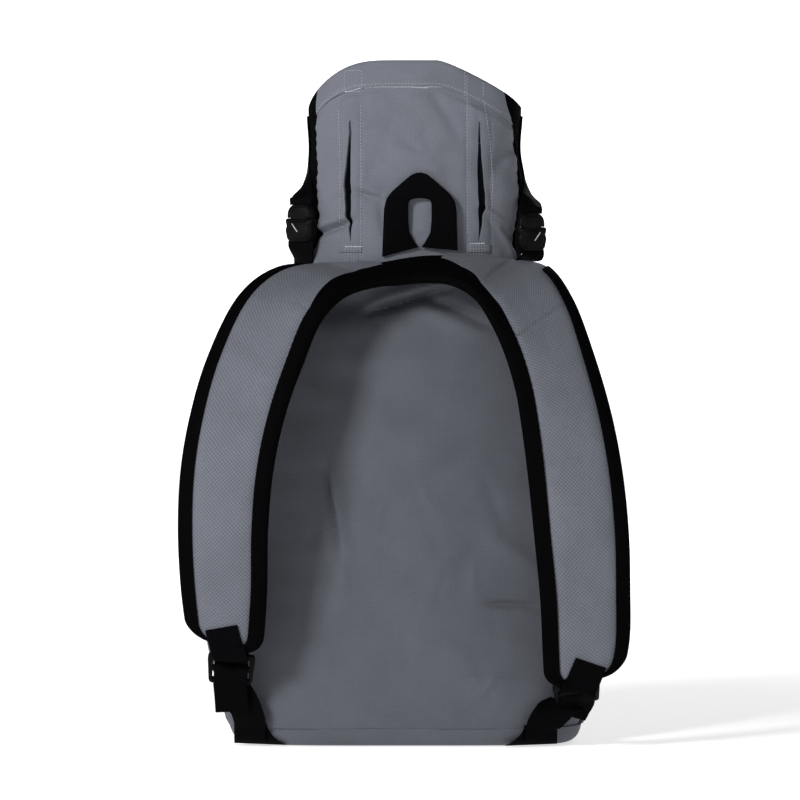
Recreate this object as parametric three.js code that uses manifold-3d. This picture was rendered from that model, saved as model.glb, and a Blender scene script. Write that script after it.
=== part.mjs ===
// A soft rucksack with a tall open collar, seen from its harness side as it stands on its base.
// Millimetres, +Z up. The harness faces -Y, so a viewer looking along +Y sees the shoulder straps.
import * as THREE from "three";
import { mergeVertices } from "three/addons/utils/BufferGeometryUtils.js";
import Module from "manifold-3d";

const wasm = await Module();
wasm.setup();

// Driving sizes of the bag
const bodyWidth = 303;
const bodyHeight = 374;
const bodyDepth = 196;
const collarHeight = 160;
const mouthWidth = 167;
const mouthDepth = 118;
const collarLean = 8; // the collar stands this far to the right of the base
const backWall = 3;
const sideWall = 2;
const collarWall = 1.6;
const seamGap = 0.4; // between two panels sewn edge to edge
const clearance = 0.3; // between a piece and what it lies on
const baseRound = 8;
const panHeight = 14;
const hemHeight = 21;
const hemProud = 0.7;
const sideSeamAngle = 24; // degrees round from the side, at which the back panel ends
const rimSideFall = 37;
const rimFrontFall = 45;

// Driving sizes of the harness
const harnessWidth = 348;
const strapStandOff = 65;
const paddingTop = 6.4;
const paddingBottom = 3.2;
const bindingWidth = 12;
const bindingWall = 1;
const bindingGap = 0.4; // between the padding and the tape folded over it
const seamTuck = 1.2; // how far the yoke's sewn edge reaches past the line of the back seam
const yokeSeat = 1.2; // the padding's distance from the cloth that it is sewn to

// Driving sizes of the webbing and the plastic hardware
const webbingWidth = 26;
const webbingThickness = 1.6;
const lockThickness = 4;
const lockBar = 4;
const lockWindow = 7;
const lockRim = 4.2;
const lockHang = 11; // from the strap's end down to the lock
const tabOverlap = 17;
const anchorWidth = 42;
const anchorHeight = 17;
const anchorThickness = 1.5;
const anchorLift = 0.6; // from the floor
const anchorAngle = 48; // degrees round from the side, where the anchor tab lies against the bag
const loopWidth = 59;
const loopHeight = 61;
const loopHoleWidth = 18;
const loopHoleHeight = 38;
const loopThickness = 3;
const loopTilt = 5; // degrees that the loop leans away from the collar
const sideWebbingWidth = 20;
const buckleWidth = 26;
const buckleHeight = 30;
const buckleThickness = 9;
const buckleTurn = 60; // degrees that the side buckles are turned towards the viewer
const slitWidth = 4.6;
const slitHeight = 106;
const patchWidth = 18;
const patchHeight = 6.5;
const patchThickness = 1.2;

const materials = {
  cloth: new THREE.MeshStandardMaterial({ color: 0x70737c, roughness: 0.85, metalness: 0 }),
  padding: new THREE.MeshStandardMaterial({ color: 0x797c86, roughness: 0.85, metalness: 0 }),
  mesh: new THREE.MeshStandardMaterial({ color: 0x0c0c0e, roughness: 0.95, metalness: 0 }),
  binding: new THREE.MeshStandardMaterial({ color: 0x08080a, roughness: 0.8, metalness: 0 }),
  webbing: new THREE.MeshStandardMaterial({ color: 0x08080a, roughness: 0.75, metalness: 0 }),
  plastic: new THREE.MeshStandardMaterial({ color: 0x0a0a0b, roughness: 0.35, metalness: 0 }),
};

// The bag's level sections, from the base to the shoulder seam. up is a share of bodyHeight, middle and
// width of bodyWidth, back and front of half bodyDepth, and square is the exponent of the round corners.
const bodyRows = [
  { up: 0.0, middle: 0.004, width: 0.886, back: 0.87, front: 0.87, square: 4.6 },
  { up: 0.06, middle: 0.0, width: 0.935, back: 0.93, front: 0.93, square: 4.3 },
  { up: 0.175, middle: -0.013, width: 0.987, back: 0.985, front: 0.99, square: 3.6 },
  { up: 0.28, middle: -0.016, width: 1.0, back: 1.0, front: 1.0, square: 3.1 },
  { up: 0.45, middle: -0.013, width: 0.972, back: 0.985, front: 0.98, square: 2.8 },
  { up: 0.62, middle: -0.013, width: 0.912, back: 0.945, front: 0.93, square: 2.6 },
  { up: 0.78, middle: -0.01, width: 0.818, back: 0.86, front: 0.84, square: 2.6 },
  { up: 0.9, middle: 0.002, width: 0.711, back: 0.74, front: 0.73, square: 2.5 },
  { up: 1.0, middle: 0.018, width: 0.589, back: 0.625, front: 0.63, square: 2.4 },
];

// The collar's sections above the seam. up is a share of collarHeight, middle of collarLean, width of
// mouthWidth, back and front of half mouthDepth; the seams are degrees round from each side.
const collarRows = [
  { up: 0.12, middle: 0.85, width: 1.0, back: 1.035, front: 0.98, seamLeft: 29, seamRight: 22 },
  { up: 0.36, middle: 1.13, width: 1.03, back: 1.03, front: 0.97, seamLeft: 30, seamRight: 22 },
  { up: 0.56, middle: 1.0, width: 0.985, back: 1.04, front: 0.95, seamLeft: 27, seamRight: 18 },
  { up: 0.76, middle: 1.02, width: 1.005, back: 1.02, front: 0.92, seamLeft: 28, seamRight: 35 },
  { up: 0.86, middle: 1.05, width: 0.985, back: 1.01, front: 0.9, seamLeft: 28, seamRight: 38 },
  { up: 1.0, middle: 1.1, width: 0.91, back: 0.97, front: 0.88, seamLeft: 25, seamRight: 38 },
];
const collarSquare = 2.4;

// The two edges of the padded harness from the left strap's end, over the yoke, to the right strap's end.
// out is a share of half harnessWidth, up of bodyHeight, off of strapStandOff beyond the back panel;
// a row with no off lies on the seam at the top of the back panel.
const harnessRows = [
  { outerOut: -0.967, outerUp: 0.246, outerOff: 0.4, innerOut: -0.628, innerUp: 0.196, innerOff: 0.46 },
  { outerOut: -0.99, outerUp: 0.34, outerOff: 0.58, innerOut: -0.607, innerUp: 0.33, innerOff: 0.72 },
  { outerOut: -1.0, outerUp: 0.46, outerOff: 0.74, innerOut: -0.601, innerUp: 0.46, innerOff: 0.92 },
  { outerOut: -0.988, outerUp: 0.58, outerOff: 0.76, innerOut: -0.578, innerUp: 0.58, innerOff: 1.0 },
  { outerOut: -0.948, outerUp: 0.69, outerOff: 0.66, innerOut: -0.529, innerUp: 0.69, innerOff: 0.96 },
  { outerOut: -0.876, outerUp: 0.805, outerOff: 0.42, innerOut: -0.448, innerUp: 0.8, innerOff: 0.84 },
  { outerOut: -0.74, outerUp: 0.932, outerOff: -0.02, innerOut: -0.36, innerUp: 0.895, innerOff: 0.62 },
  { outerOut: -0.585, outerUp: 0.986, outerOff: -0.5, innerOut: -0.255, innerUp: 0.942, innerOff: 0.4 },
  { outerOut: -0.4, outerUp: 0.994, innerOut: -0.13, innerUp: 0.962, innerOff: 0.25 },
  { outerOut: -0.16, outerUp: 1.004, innerOut: -0.02, innerUp: 0.966, innerOff: 0.18 },
  { outerOut: 0.09, outerUp: 1.022, innerOut: 0.08, innerUp: 0.97, innerOff: 0.17 },
  { outerOut: 0.33, outerUp: 1.018, innerOut: 0.2, innerUp: 0.966, innerOff: 0.24 },
  { outerOut: 0.49, outerUp: 1.006, innerOut: 0.295, innerUp: 0.944, innerOff: 0.4 },
  { outerOut: 0.645, outerUp: 0.992, outerOff: -0.46, innerOut: 0.37, innerUp: 0.895, innerOff: 0.62 },
  { outerOut: 0.745, outerUp: 0.93, outerOff: -0.02, innerOut: 0.432, innerUp: 0.835, innerOff: 0.78 },
  { outerOut: 0.832, outerUp: 0.824, outerOff: 0.36, innerOut: 0.484, innerUp: 0.757, innerOff: 0.9 },
  { outerOut: 0.913, outerUp: 0.695, outerOff: 0.64, innerOut: 0.514, innerUp: 0.675, innerOff: 0.97 },
  { outerOut: 0.962, outerUp: 0.575, outerOff: 0.74, innerOut: 0.543, innerUp: 0.57, innerOff: 1.0 },
  { outerOut: 0.99, outerUp: 0.45, outerOff: 0.73, innerOut: 0.57, innerUp: 0.45, innerOff: 0.92 },
  { outerOut: 0.998, outerUp: 0.335, outerOff: 0.6, innerOut: 0.598, innerUp: 0.32, innerOff: 0.74 },
  { outerOut: 0.998, outerUp: 0.235, outerOff: 0.44, innerOut: 0.612, innerUp: 0.2, innerOff: 0.52 },
  { outerOut: 0.975, outerUp: 0.165, outerOff: 0.32, innerOut: 0.62, innerUp: 0.128, innerOff: 0.4 },
];
const leftBindingEnd = 7.5; // the row, counted from 0, at which each outer binding meets the seam
const rightBindingEnd = 13;

const lerp = THREE.MathUtils.lerp;
const radians = THREE.MathUtils.degToRad;
const at = (x, y, z) => new THREE.Vector3(x, y, z);

// A smooth curve through the rows: gives every column's value at one value of the key column.
function through(rows, key) {
  const slope = (a, b, column) => (b[column] - a[column]) / (b[key] - a[key]);
  return (value) => {
    let k = rows.findIndex((row) => row[key] > value) - 1;
    if (k < 0) k = value < rows[0][key] ? 0 : rows.length - 2;
    const [a, b] = [rows[k], rows[k + 1]];
    const before = rows[k - 1] ?? a;
    const after = rows[k + 2] ?? b;
    const span = b[key] - a[key];
    const s = THREE.MathUtils.clamp((value - a[key]) / span, 0, 1);
    const found = {};
    for (const column of Object.keys(a)) {
      const startSlope = slope(before, b, column) * span;
      const endSlope = slope(a, after, column) * span;
      found[column] =
        a[column] * (1 + 2 * s) * (1 - s) ** 2 +
        startSlope * s * (1 - s) ** 2 +
        b[column] * s * s * (3 - 2 * s) -
        endSlope * s * s * (1 - s);
    }
    return found;
  };
}

const sectionAt = through(
  [
    ...bodyRows.map((row) => ({
      z: row.up * bodyHeight,
      middle: row.middle * bodyWidth,
      half: (row.width * bodyWidth) / 2,
      back: (row.back * bodyDepth) / 2,
      front: (row.front * bodyDepth) / 2,
      square: row.square,
      seamLeft: sideSeamAngle,
      seamRight: sideSeamAngle,
    })),
    ...collarRows.map((row) => ({
      z: bodyHeight + row.up * collarHeight,
      middle: row.middle * collarLean,
      half: (row.width * mouthWidth) / 2,
      back: (row.back * mouthDepth) / 2,
      front: (row.front * mouthDepth) / 2,
      square: collarSquare,
      seamLeft: row.seamLeft,
      seamRight: row.seamRight,
    })),
  ],
  "z",
);

// The bag's outer surface at an angle round from +X and a height; out moves the point off the surface.
function skin(angle, z, out = 0) {
  const s = sectionAt(z);
  const [c, d] = [Math.cos(angle), Math.sin(angle)];
  const reach = (Math.abs(c) ** s.square + Math.abs(d) ** s.square) ** (-1 / s.square);
  const depth = d < 0 ? s.back : s.front;
  return at(s.middle + (s.half + out) * c * reach, (depth + out) * d * reach, z);
}

// The back of the bag at a place in the viewer's plane, out in front of it by a distance.
function backY(x, z, out = 0) {
  const s = sectionAt(z);
  const across = Math.min(1, Math.abs(x - s.middle) / (s.half + out));
  return -(s.back + out) * (1 - across ** s.square) ** (1 / s.square);
}

// The angle round the bag of a point on its back.
function backAngle(x, z) {
  const s = sectionAt(z);
  return Math.atan2(backY(x, z) / s.back, (x - s.middle) / s.half) + 2 * Math.PI;
}

// How far the round lower edge of the base is drawn in at a height.
const baseInset = (z) => (z < baseRound ? baseRound - Math.sqrt(baseRound ** 2 - (baseRound - z) ** 2) : 0);

// The mouth's edge: level at the back's middle, falling to the sides and lower still at the front.
function rimZ(angle) {
  const top = bodyHeight + collarHeight;
  if (Math.sin(angle) > 0) return top - lerp(rimSideFall, rimFrontFall, Math.sin(angle));
  const aside = Math.max(0, (Math.abs(Math.cos(angle)) - 0.22) / 0.78);
  const bend = Math.cos(angle) < 0 ? 3.4 : 1.35;
  return top - rimSideFall * aside ** bend;
}

// The two edges of the bag's back at a height, and the angle that one seam gap takes up there.
const gapTurn = (z) => seamGap / sectionAt(z).front;
const leftSeam = (z) => Math.PI + radians(sectionAt(z).seamLeft) + gapTurn(z) / 2;
const rightSeam = (z) => 2 * Math.PI - radians(sectionAt(z).seamRight) - gapTurn(z) / 2;

// A closed solid through rings of points. Each ring runs along one face of the piece and returns along
// the other, so its ends are capped by pairing the two runs; a round piece is capped to its middle. order
// gives each point's place across the piece, and a face is always split from the lower place to the
// higher, so that two layers with a gap between them stay apart.
function loft(rings, { cap = "pairs", order } = {}) {
  const count = rings[0].length;
  const place = order ?? rings[0].map((_, j) => Math.min(j, count - 1 - j));
  const points = rings.flat();
  const faces = [];
  for (let i = 0; i + 1 < rings.length; i++)
    for (let j = 0; j < count; j++) {
      const [a, b] = [i * count + j, i * count + ((j + 1) % count)];
      if (place[j] <= place[(j + 1) % count]) faces.push([a, b, b + count], [a, b + count, a + count]);
      else faces.push([a, b, a + count], [b, b + count, a + count]);
    }
  for (const [start, turned] of [[0, true], [(rings.length - 1) * count, false]]) {
    const add = (a, b, c) => faces.push(turned ? [a, c, b] : [a, b, c]);
    if (cap === "pairs") {
      for (let k = 0; k + 1 < count / 2; k++) {
        const [near, far] = [start + k, start + count - 1 - k];
        add(near, near + 1, far - 1);
        add(near, far - 1, far);
      }
    } else {
      const ring = points.slice(start, start + count);
      points.push(ring.reduce((sum, p) => sum.add(p), at(0, 0, 0)).divideScalar(count));
      for (let j = 0; j < count; j++) add(start + j, start + ((j + 1) % count), points.length - 1);
    }
  }
  return solidGeometry(points, faces);
}

// Turns the faces outwards if they came out facing in.
function solidGeometry(points, faces) {
  const volume = faces.reduce((sum, [a, b, c]) => sum + points[a].dot(at(0, 0, 0).crossVectors(points[b], points[c])), 0);
  const index = faces.flatMap(([a, b, c]) => (volume < 0 ? [a, c, b] : [a, b, c]));
  const geometry = new THREE.BufferGeometry().setFromPoints(points);
  geometry.setIndex(index);
  geometry.computeVertexNormals();
  return geometry;
}

function toManifold(geometry) {
  const bare = geometry.clone();
  bare.deleteAttribute("normal");
  bare.deleteAttribute("uv");
  const merged = mergeVertices(bare, 1e-4);
  const triVerts = new Uint32Array(merged.index.array);
  const vertProperties = new Float32Array(merged.attributes.position.array);
  return new wasm.Manifold(new wasm.Mesh({ numProp: 3, vertProperties, triVerts }));
}

function fromManifold(solid) {
  const { vertProperties, triVerts } = solid.getMesh();
  const geometry = new THREE.BufferGeometry();
  geometry.setAttribute("position", new THREE.BufferAttribute(new Float32Array(vertProperties), 3));
  geometry.setIndex(Array.from(triVerts));
  geometry.computeVertexNormals();
  return geometry;
}

const group = new THREE.Group();
function addPiece(name, geometry, material, parent = group) {
  const piece = new THREE.Mesh(geometry, material);
  piece.name = name;
  parent.add(piece);
  return piece;
}

// Level lines from one height to another, each of them a height that depends on the angle round the bag.
function levels(low, high, rows) {
  return Array.from({ length: rows + 1 }, (_, i) => (angle) => lerp(low(angle), high(angle), i / rows));
}

// A stretch of the bag's wall between two seams, through its level lines, with its outer face out by a
// distance. The seams' angles change with the height, so both are found together.
function wallPanel({ from, to, lines, out = 0, wall, columns }) {
  const rings = lines.map((line) => {
    const [outer, inner] = [[], []];
    for (let j = 0; j <= columns; j++) {
      let z = line(from(bodyHeight));
      let angle = 0;
      for (let pass = 0; pass < 8; pass++) {
        angle = lerp(from(z), to(z), j / columns);
        z = line(angle);
      }
      outer.push(skin(angle, z, out));
      inner.push(skin(angle, z, out - wall));
    }
    return [...outer, ...inner.reverse()];
  });
  return loft(rings);
}

function makeBody() {
  const lines = levels(
    () => panHeight + seamGap / 2,
    () => bodyHeight - seamGap / 2,
    14,
  );
  const back = { from: leftSeam, to: rightSeam, lines, wall: backWall, columns: 14 };
  addPiece("back_panel", wallPanel(back), materials.cloth);
  const wrap = {
    from: (z) => rightSeam(z) - 2 * Math.PI + gapTurn(z),
    to: (z) => leftSeam(z) - gapTurn(z),
    lines,
    wall: sideWall,
    columns: 24,
  };
  addPiece("front_wrap", wallPanel(wrap), materials.cloth);
  addPiece("base_panel", makeBase(), materials.cloth);
}

// The base is a shallow pan with a round lower edge, which the walls stand on.
function makeBase() {
  const columns = 36;
  const outerHeights = [0, 0.1, 0.3, 0.6, 1].map((share) => share * baseRound);
  const ring = (z, inset) => {
    const points = [];
    for (let j = 0; j < columns; j++) {
      points.push(skin((j / columns) * 2 * Math.PI, z, -inset));
    }
    return points;
  };
  const rise = panHeight - seamGap / 2;
  const rings = [
    ...outerHeights.map((z) => ring(z, baseInset(z))),
    ring(rise, 0),
    ring(rise, backWall),
    ring(baseRound, backWall),
    ring(backWall, baseRound + backWall),
  ];
  return loft(rings, { cap: "middle" });
}

function makeCollar() {
  const hemLow = (angle) => rimZ(angle) - hemHeight;
  const wallLines = levels(() => bodyHeight + seamGap / 2, (angle) => hemLow(angle) - seamGap, 9);
  const hemLines = levels(hemLow, rimZ, 2);
  const back = { from: leftSeam, to: rightSeam, columns: 14 };
  const cloth = toManifold(wallPanel({ ...back, lines: wallLines, wall: collarWall }));
  const pierced = slits.reduce((solid, slit) => solid.subtract(toManifold(slitCutter(slit))), cloth);
  addPiece("collar_back", fromManifold(pierced), materials.cloth);
  const hem = { lines: hemLines, out: hemProud, wall: collarWall + 2 * hemProud };
  addPiece("hem_back", wallPanel({ ...back, ...hem }), materials.cloth);

  // The gussets run up to the rim in one piece.
  const gusset = { lines: [...wallLines, ...hemLines], wall: collarWall, columns: 6 };
  const left = { from: (z) => 2 * Math.PI - leftSeam(z), to: (z) => leftSeam(z) - gapTurn(z) };
  addPiece("side_gusset_left", wallPanel({ ...gusset, ...left }), materials.mesh);
  const right = { from: (z) => rightSeam(z) - 2 * Math.PI + gapTurn(z), to: () => radians(sideSeamAngle) };
  addPiece("side_gusset_right", wallPanel({ ...gusset, ...right }), materials.mesh);

  const front = {
    from: (z) => radians(sideSeamAngle) + gapTurn(z),
    to: (z) => 2 * Math.PI - leftSeam(z) - gapTurn(z),
    columns: 12,
  };
  addPiece("collar_front", wallPanel({ ...front, lines: wallLines, wall: collarWall }), materials.cloth);
  addPiece("hem_front", wallPanel({ ...front, ...hem }), materials.cloth);
}

// The long slits in the collar's back. middle is a share of half mouthWidth, bow says to which side and
// how far the slit's outer edge is bent, as a share of slitWidth.
const slits = [
  { name: "left", middle: -0.505, bow: -0.85, lift: 0.105 },
  { name: "right", middle: 0.69, bow: 1, lift: 0.105 },
];
const slitLow = (slit) => bodyHeight + slit.lift * collarHeight;

function slitCutter(slit) {
  const x = (slit.middle * mouthWidth) / 2;
  const [low, high] = [slitLow(slit), slitLow(slit) + slitHeight];
  const belly = x + slit.bow * slitWidth * 2;
  const outline = new THREE.Shape();
  outline.moveTo(x, low);
  outline.quadraticCurveTo(belly, (low + high) / 2, x, high);
  outline.quadraticCurveTo(x - slit.bow * slitWidth * 0.15, (low + high) / 2, x, low);
  const cutter = new THREE.ExtrudeGeometry(outline, { depth: mouthDepth, bevelEnabled: false, curveSegments: 7 });
  cutter.rotateX(Math.PI / 2);
  return cutter;
}

// A small sewn patch across the lower end of each slit.
function makePatches() {
  for (const slit of slits) {
    const x = (slit.middle * mouthWidth) / 2;
    const high = slitLow(slit) - clearance;
    const edge = (side) => (z) => backAngle(x + (side * patchWidth) / 2, z);
    const lines = levels(() => high - patchHeight, () => high, 2);
    const out = 2.5 * clearance + patchThickness;
    const patch = { from: edge(-1), to: edge(1), lines, out, wall: patchThickness, columns: 3 };
    addPiece(`slit_patch_${slit.name}`, wallPanel(patch), materials.cloth);
  }
}

// The harness's two edge curves, row by row.
function harnessEdge(side) {
  const points = harnessRows.map((row) => {
    const x = (row[`${side}Out`] * harnessWidth) / 2;
    const z = row[`${side}Up`] * bodyHeight;
    const off = row[`${side}Off`];
    const y = off === undefined ? backY(x, z, -seamTuck) : -bodyDepth / 2 - off * strapStandOff;
    return at(x, y, z);
  });
  return new THREE.CatmullRomCurve3(points);
}
const outerEdge = harnessEdge("outer");
const innerEdge = harnessEdge("inner");
const rowSpan = harnessRows.length - 1;
const endRound = 15;

// One cross-section of the harness at a row number: its two edges, the direction across and the face's
// normal. Near the straps' ends the edges are drawn in, so that the corners are round.
function harnessFrame(row) {
  const t = row / rowSpan;
  const middle = (s) => outerEdge.getPoint(s).add(innerEdge.getPoint(s)).multiplyScalar(0.5);
  const [before, after] = [Math.max(0, t - 0.002), Math.min(1, t + 0.002)];
  const along = middle(after).sub(middle(before)).normalize();
  const [outer, inner] = [outerEdge.getPoint(t), innerEdge.getPoint(t)];
  const across = inner.clone().sub(outer).normalize();
  const normal = across.clone().cross(along).normalize();
  const end = row < rowSpan / 2 ? 0 : 1;
  const toEnd = Math.min(endRound, middle(t).distanceTo(middle(end)));
  const pull = endRound - Math.sqrt(endRound ** 2 - (endRound - toEnd) ** 2);
  outer.addScaledVector(across, pull);
  inner.addScaledVector(across, -pull);
  // The yoke is kept in front of the bag's back.
  const into = [paddingTop * 0.5, 0, -paddingBottom * 0.5].map((height) => {
    const point = outer.clone().addScaledVector(across, bindingWall).addScaledVector(normal, height);
    return point.y - backY(point.x, point.z, yokeSeat);
  });
  outer.y -= Math.max(0, ...into);
  return { outer, inner, middle: middle(t), across, along, normal };
}

// The row numbers of the harness's stations, closer together at the straps' round ends.
const harnessSteps = [0.04, 0.14, 0.3];
for (let row = 0.5; row < rowSpan; row += 0.5) harnessSteps.push(row);
harnessSteps.unshift(0);
harnessSteps.push(rowSpan - 0.3, rowSpan - 0.14, rowSpan - 0.04, rowSpan);

// A band along the harness. Each point of its profile is a share of the width from the outer edge, an
// inward step in millimetres and a height off the middle plane.
function harnessBand(steps, face, back) {
  const place = (frame, [share, inward, height]) => {
    const point = frame.outer.clone().lerp(frame.inner, share);
    return point.addScaledVector(frame.across, inward).addScaledVector(frame.normal, height);
  };
  const profile = [...face, ...[...back].reverse()];
  const rings = steps.map((row) => {
    const frame = harnessFrame(row);
    return profile.map((p) => place(frame, p));
  });
  return loft(rings, { order: profile.map(([share, inward, height]) => share * harnessWidth + inward + height / 1000) });
}

function makeHarness() {
  const edge = bindingWall + bindingGap; // the padding stops short of the binding's fold
  const whole = harnessSteps;
  const half = clearance / 2;
  const bound = 0.72; // how far the binding presses the padding down
  const [faceEdge, faceBound] = [paddingTop * 0.42, paddingTop * bound];
  const [backEdge, backBound] = [paddingBottom * 0.42, paddingBottom * bound];
  const columns = (height, bend, edgeHeight) => [
    [0, edge, edgeHeight],
    [0, bindingWidth, bend],
    [0.5, 0, height],
    [1, -bindingWidth, bend],
    [1, -edge, edgeHeight],
  ];
  const flat = (height) => columns(height, height, height);
  addPiece("harness_face", harnessBand(whole, columns(paddingTop, faceBound, faceEdge), flat(half)), materials.padding);
  addPiece("harness_mesh", harnessBand(whole, flat(-half), columns(-paddingBottom, -backBound, -backEdge)), materials.mesh);

  // The binding is folded round the edge: over the face, round the fold and back under the mesh.
  const tape = (share, turn) => {
    const layer = (off, corner, fold) => [
      [share, turn * bindingWidth, faceBound + off],
      [share, turn * corner, faceEdge + off],
      [share, turn * fold, 0],
      [share, turn * corner, -backEdge - off],
      [share, turn * bindingWidth, -backBound - off],
    ];
    return [layer(bindingGap + bindingWall, bindingWall * 0.4, 0), layer(bindingGap, bindingWall, bindingWall)];
  };
  addPiece("binding_inner", harnessBand(whole, ...tape(1, -1)), materials.binding);
  const left = whole.filter((row) => row <= leftBindingEnd);
  addPiece("binding_outer_left", harnessBand(left, ...tape(0, 1)), materials.binding);
  const right = whole.filter((row) => row >= rightBindingEnd);
  addPiece("binding_outer_right", harnessBand(right, ...tape(0, 1)), materials.binding);
}

// A strip of webbing along middle points, each with the direction of its width. A station that is marked
// level keeps that direction as it is, so that the strip's end there is level too.
function webbing(stations, width, thickness = webbingThickness) {
  return loft(
    stations.map(({ point, across, level }, i) => {
      const before = stations[Math.max(0, i - 1)].point;
      const after = stations[Math.min(stations.length - 1, i + 1)].point;
      const along = after.clone().sub(before).normalize();
      const skew = level ? 0 : across.dot(along);
      const side = across.clone().addScaledVector(along, -skew).normalize();
      const normal = side.clone().cross(along).normalize();
      const corner = (s, h) => point.clone().addScaledVector(side, (s * width) / 2).addScaledVector(normal, (h * thickness) / 2);
      return [corner(-1, 1), corner(1, 1), corner(1, -1), corner(-1, -1)];
    }),
  );
}

// A frame's point at a height up it and a distance in front of it.
const onFrame = (frame, up, off, aside = 0) => ({
  point: frame.origin
    .clone()
    .addScaledVector(frame.up, up)
    .addScaledVector(frame.normal, off)
    .addScaledVector(frame.across, aside),
  across: frame.across.clone(),
});

// Stations round a bar that lies across the frame at a height, from one angle to another.
function roundBar(frame, up, radius, from, to) {
  const count = 7;
  return Array.from({ length: count + 1 }, (_, i) => {
    const angle = radians(lerp(from, to, i / count));
    return onFrame(frame, up + radius * Math.sin(angle), radius * Math.cos(angle));
  });
}

// The hardware at each strap's end. lean is how far the lock hangs back from the vertical and turn how
// far it is turned in the viewer's plane, in degrees; slide and tabSlide move the lock and the tab's top
// across the strap. tail is the length of the free end and tailSlide moves its end across. anchorOut is a
// share of half bodyWidth.
const lockPlaces = [
  { side: "left", row: 0, lean: 28, turn: 4, slide: 6, tabSlide: -1, anchorOut: -0.792, tail: 24, tailSlide: 3 },
  { side: "right", row: rowSpan, lean: 54, turn: -7, slide: -7, tabSlide: 3, anchorOut: 0.7, tail: 12, tailSlide: -7 },
];

function lockFrame({ row, lean, turn, slide }) {
  const end = harnessFrame(row);
  const [a, b] = [radians(lean), radians(turn)];
  const up = at(Math.sin(b) * Math.cos(a), -Math.sin(a), Math.cos(b) * Math.cos(a));
  const normal = at(-Math.sin(b) * Math.sin(a), -Math.cos(a), -Math.cos(b) * Math.sin(a));
  const across = up.clone().cross(normal);
  const origin = end.middle.clone().add(at(slide, 1, lean / 20));
  return { origin, up, across, normal };
}

// The lock's bars are square in section, so what turns round one keeps clear of its corners.
const threadRadius = (lockBar / 2) * Math.SQRT2 + clearance + webbingThickness / 2;
const firstBar = -(lockBar / 2 + lockHang); // the bar that the strap's tab is looped round
const gripBar = firstBar - lockBar - lockWindow;
const lowBar = gripBar - lockBar - lockWindow;

function makeStrapEnd(place) {
  const frame = lockFrame(place);
  const end = harnessFrame(place.row);
  const strapUp = end.along.clone().multiplyScalar(place.row === 0 ? 1 : -1);
  const strap = { origin: end.middle, up: strapUp, normal: end.normal, across: strapUp.clone().cross(end.normal) };
  const level = at(1, 0, 0).projectOnPlane(end.normal).normalize();
  const onStrap = (up, off, share) => {
    const station = onFrame(strap, up, off, lerp(place.tabSlide, place.slide, share));
    return { ...station, across: level.clone().lerp(frame.across, share).normalize() };
  };
  const over = paddingTop + clearance + webbingThickness / 2 + 0.4;
  const under = paddingBottom + clearance + webbingThickness / 2 + 1.2;
  const tab = [
    onStrap(tabOverlap, over, 0),
    onStrap(tabOverlap * 0.5, over, 0.3),
    onStrap(0, over, 0.6),
    onStrap(-lockHang * 0.6, over + 0.5, 1),
    ...roundBar(frame, firstBar, threadRadius, -25, -190),
    onStrap(tabOverlap * 0.3, -under, 0.6),
    onStrap(tabOverlap * 0.8, -under, 0.3),
  ];
  addPiece(`strap_tab_${place.side}`, webbing(tab, webbingWidth), materials.webbing);

  const lock = addPiece(`ladder_lock_${place.side}`, ladderLock(), materials.plastic);
  lock.quaternion.setFromRotationMatrix(new THREE.Matrix4().makeBasis(frame.across, frame.up, frame.normal));
  lock.position.copy(frame.origin);
  makeAdjuster(place, frame);
}

// A frame with three bars: the tab is looped round the first, and the adjuster is threaded round the second.
function ladderLock() {
  const half = webbingWidth / 2 + 1.2;
  const outer = half + lockRim;
  const top = firstBar + lockBar / 2;
  const bottom = lowBar - lockBar / 2;
  const frame = new THREE.Shape();
  frame.moveTo(-outer + 3, top);
  frame.lineTo(outer - 3, top);
  frame.quadraticCurveTo(outer, top, outer, top - 4);
  frame.lineTo(outer - 1.5, bottom + 3);
  frame.quadraticCurveTo(outer - 2, bottom, outer - 5, bottom);
  frame.lineTo(-outer + 5, bottom);
  frame.quadraticCurveTo(-outer + 2, bottom, -outer + 1.5, bottom + 3);
  frame.lineTo(-outer, top - 4);
  frame.quadraticCurveTo(-outer, top, -outer + 3, top);
  for (const bar of [firstBar, gripBar]) {
    const [high, low] = [bar - lockBar / 2, bar - lockBar / 2 - lockWindow];
    const corners = [at(-half, low, 0), at(half, low, 0), at(half, high, 0), at(-half, high, 0)];
    frame.holes.push(new THREE.Path(corners));
  }
  const geometry = new THREE.ExtrudeGeometry(frame, { depth: lockThickness, bevelEnabled: false, curveSegments: 3 });
  return geometry.translate(0, 0, -lockThickness / 2);
}

const anchorHeights = [anchorLift, ...[0.1, 0.3, 0.6, 1, 1.5].map((share) => share * baseRound), anchorHeight];

// The plane that touches the bag's lower corner: a point of it at a place across and a height, and its
// level direction.
function cornerPlane(side, x, z, out) {
  const angle = side === "left" ? Math.PI + radians(anchorAngle) : 2 * Math.PI - radians(anchorAngle);
  const off = out - baseInset(z);
  const across = skin(angle + 0.01, z, off).sub(skin(angle - 0.01, z, off)).normalize();
  const point = skin(angle, z, off);
  return { point: point.addScaledVector(across, (x - point.x) / across.x), across };
}

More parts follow.
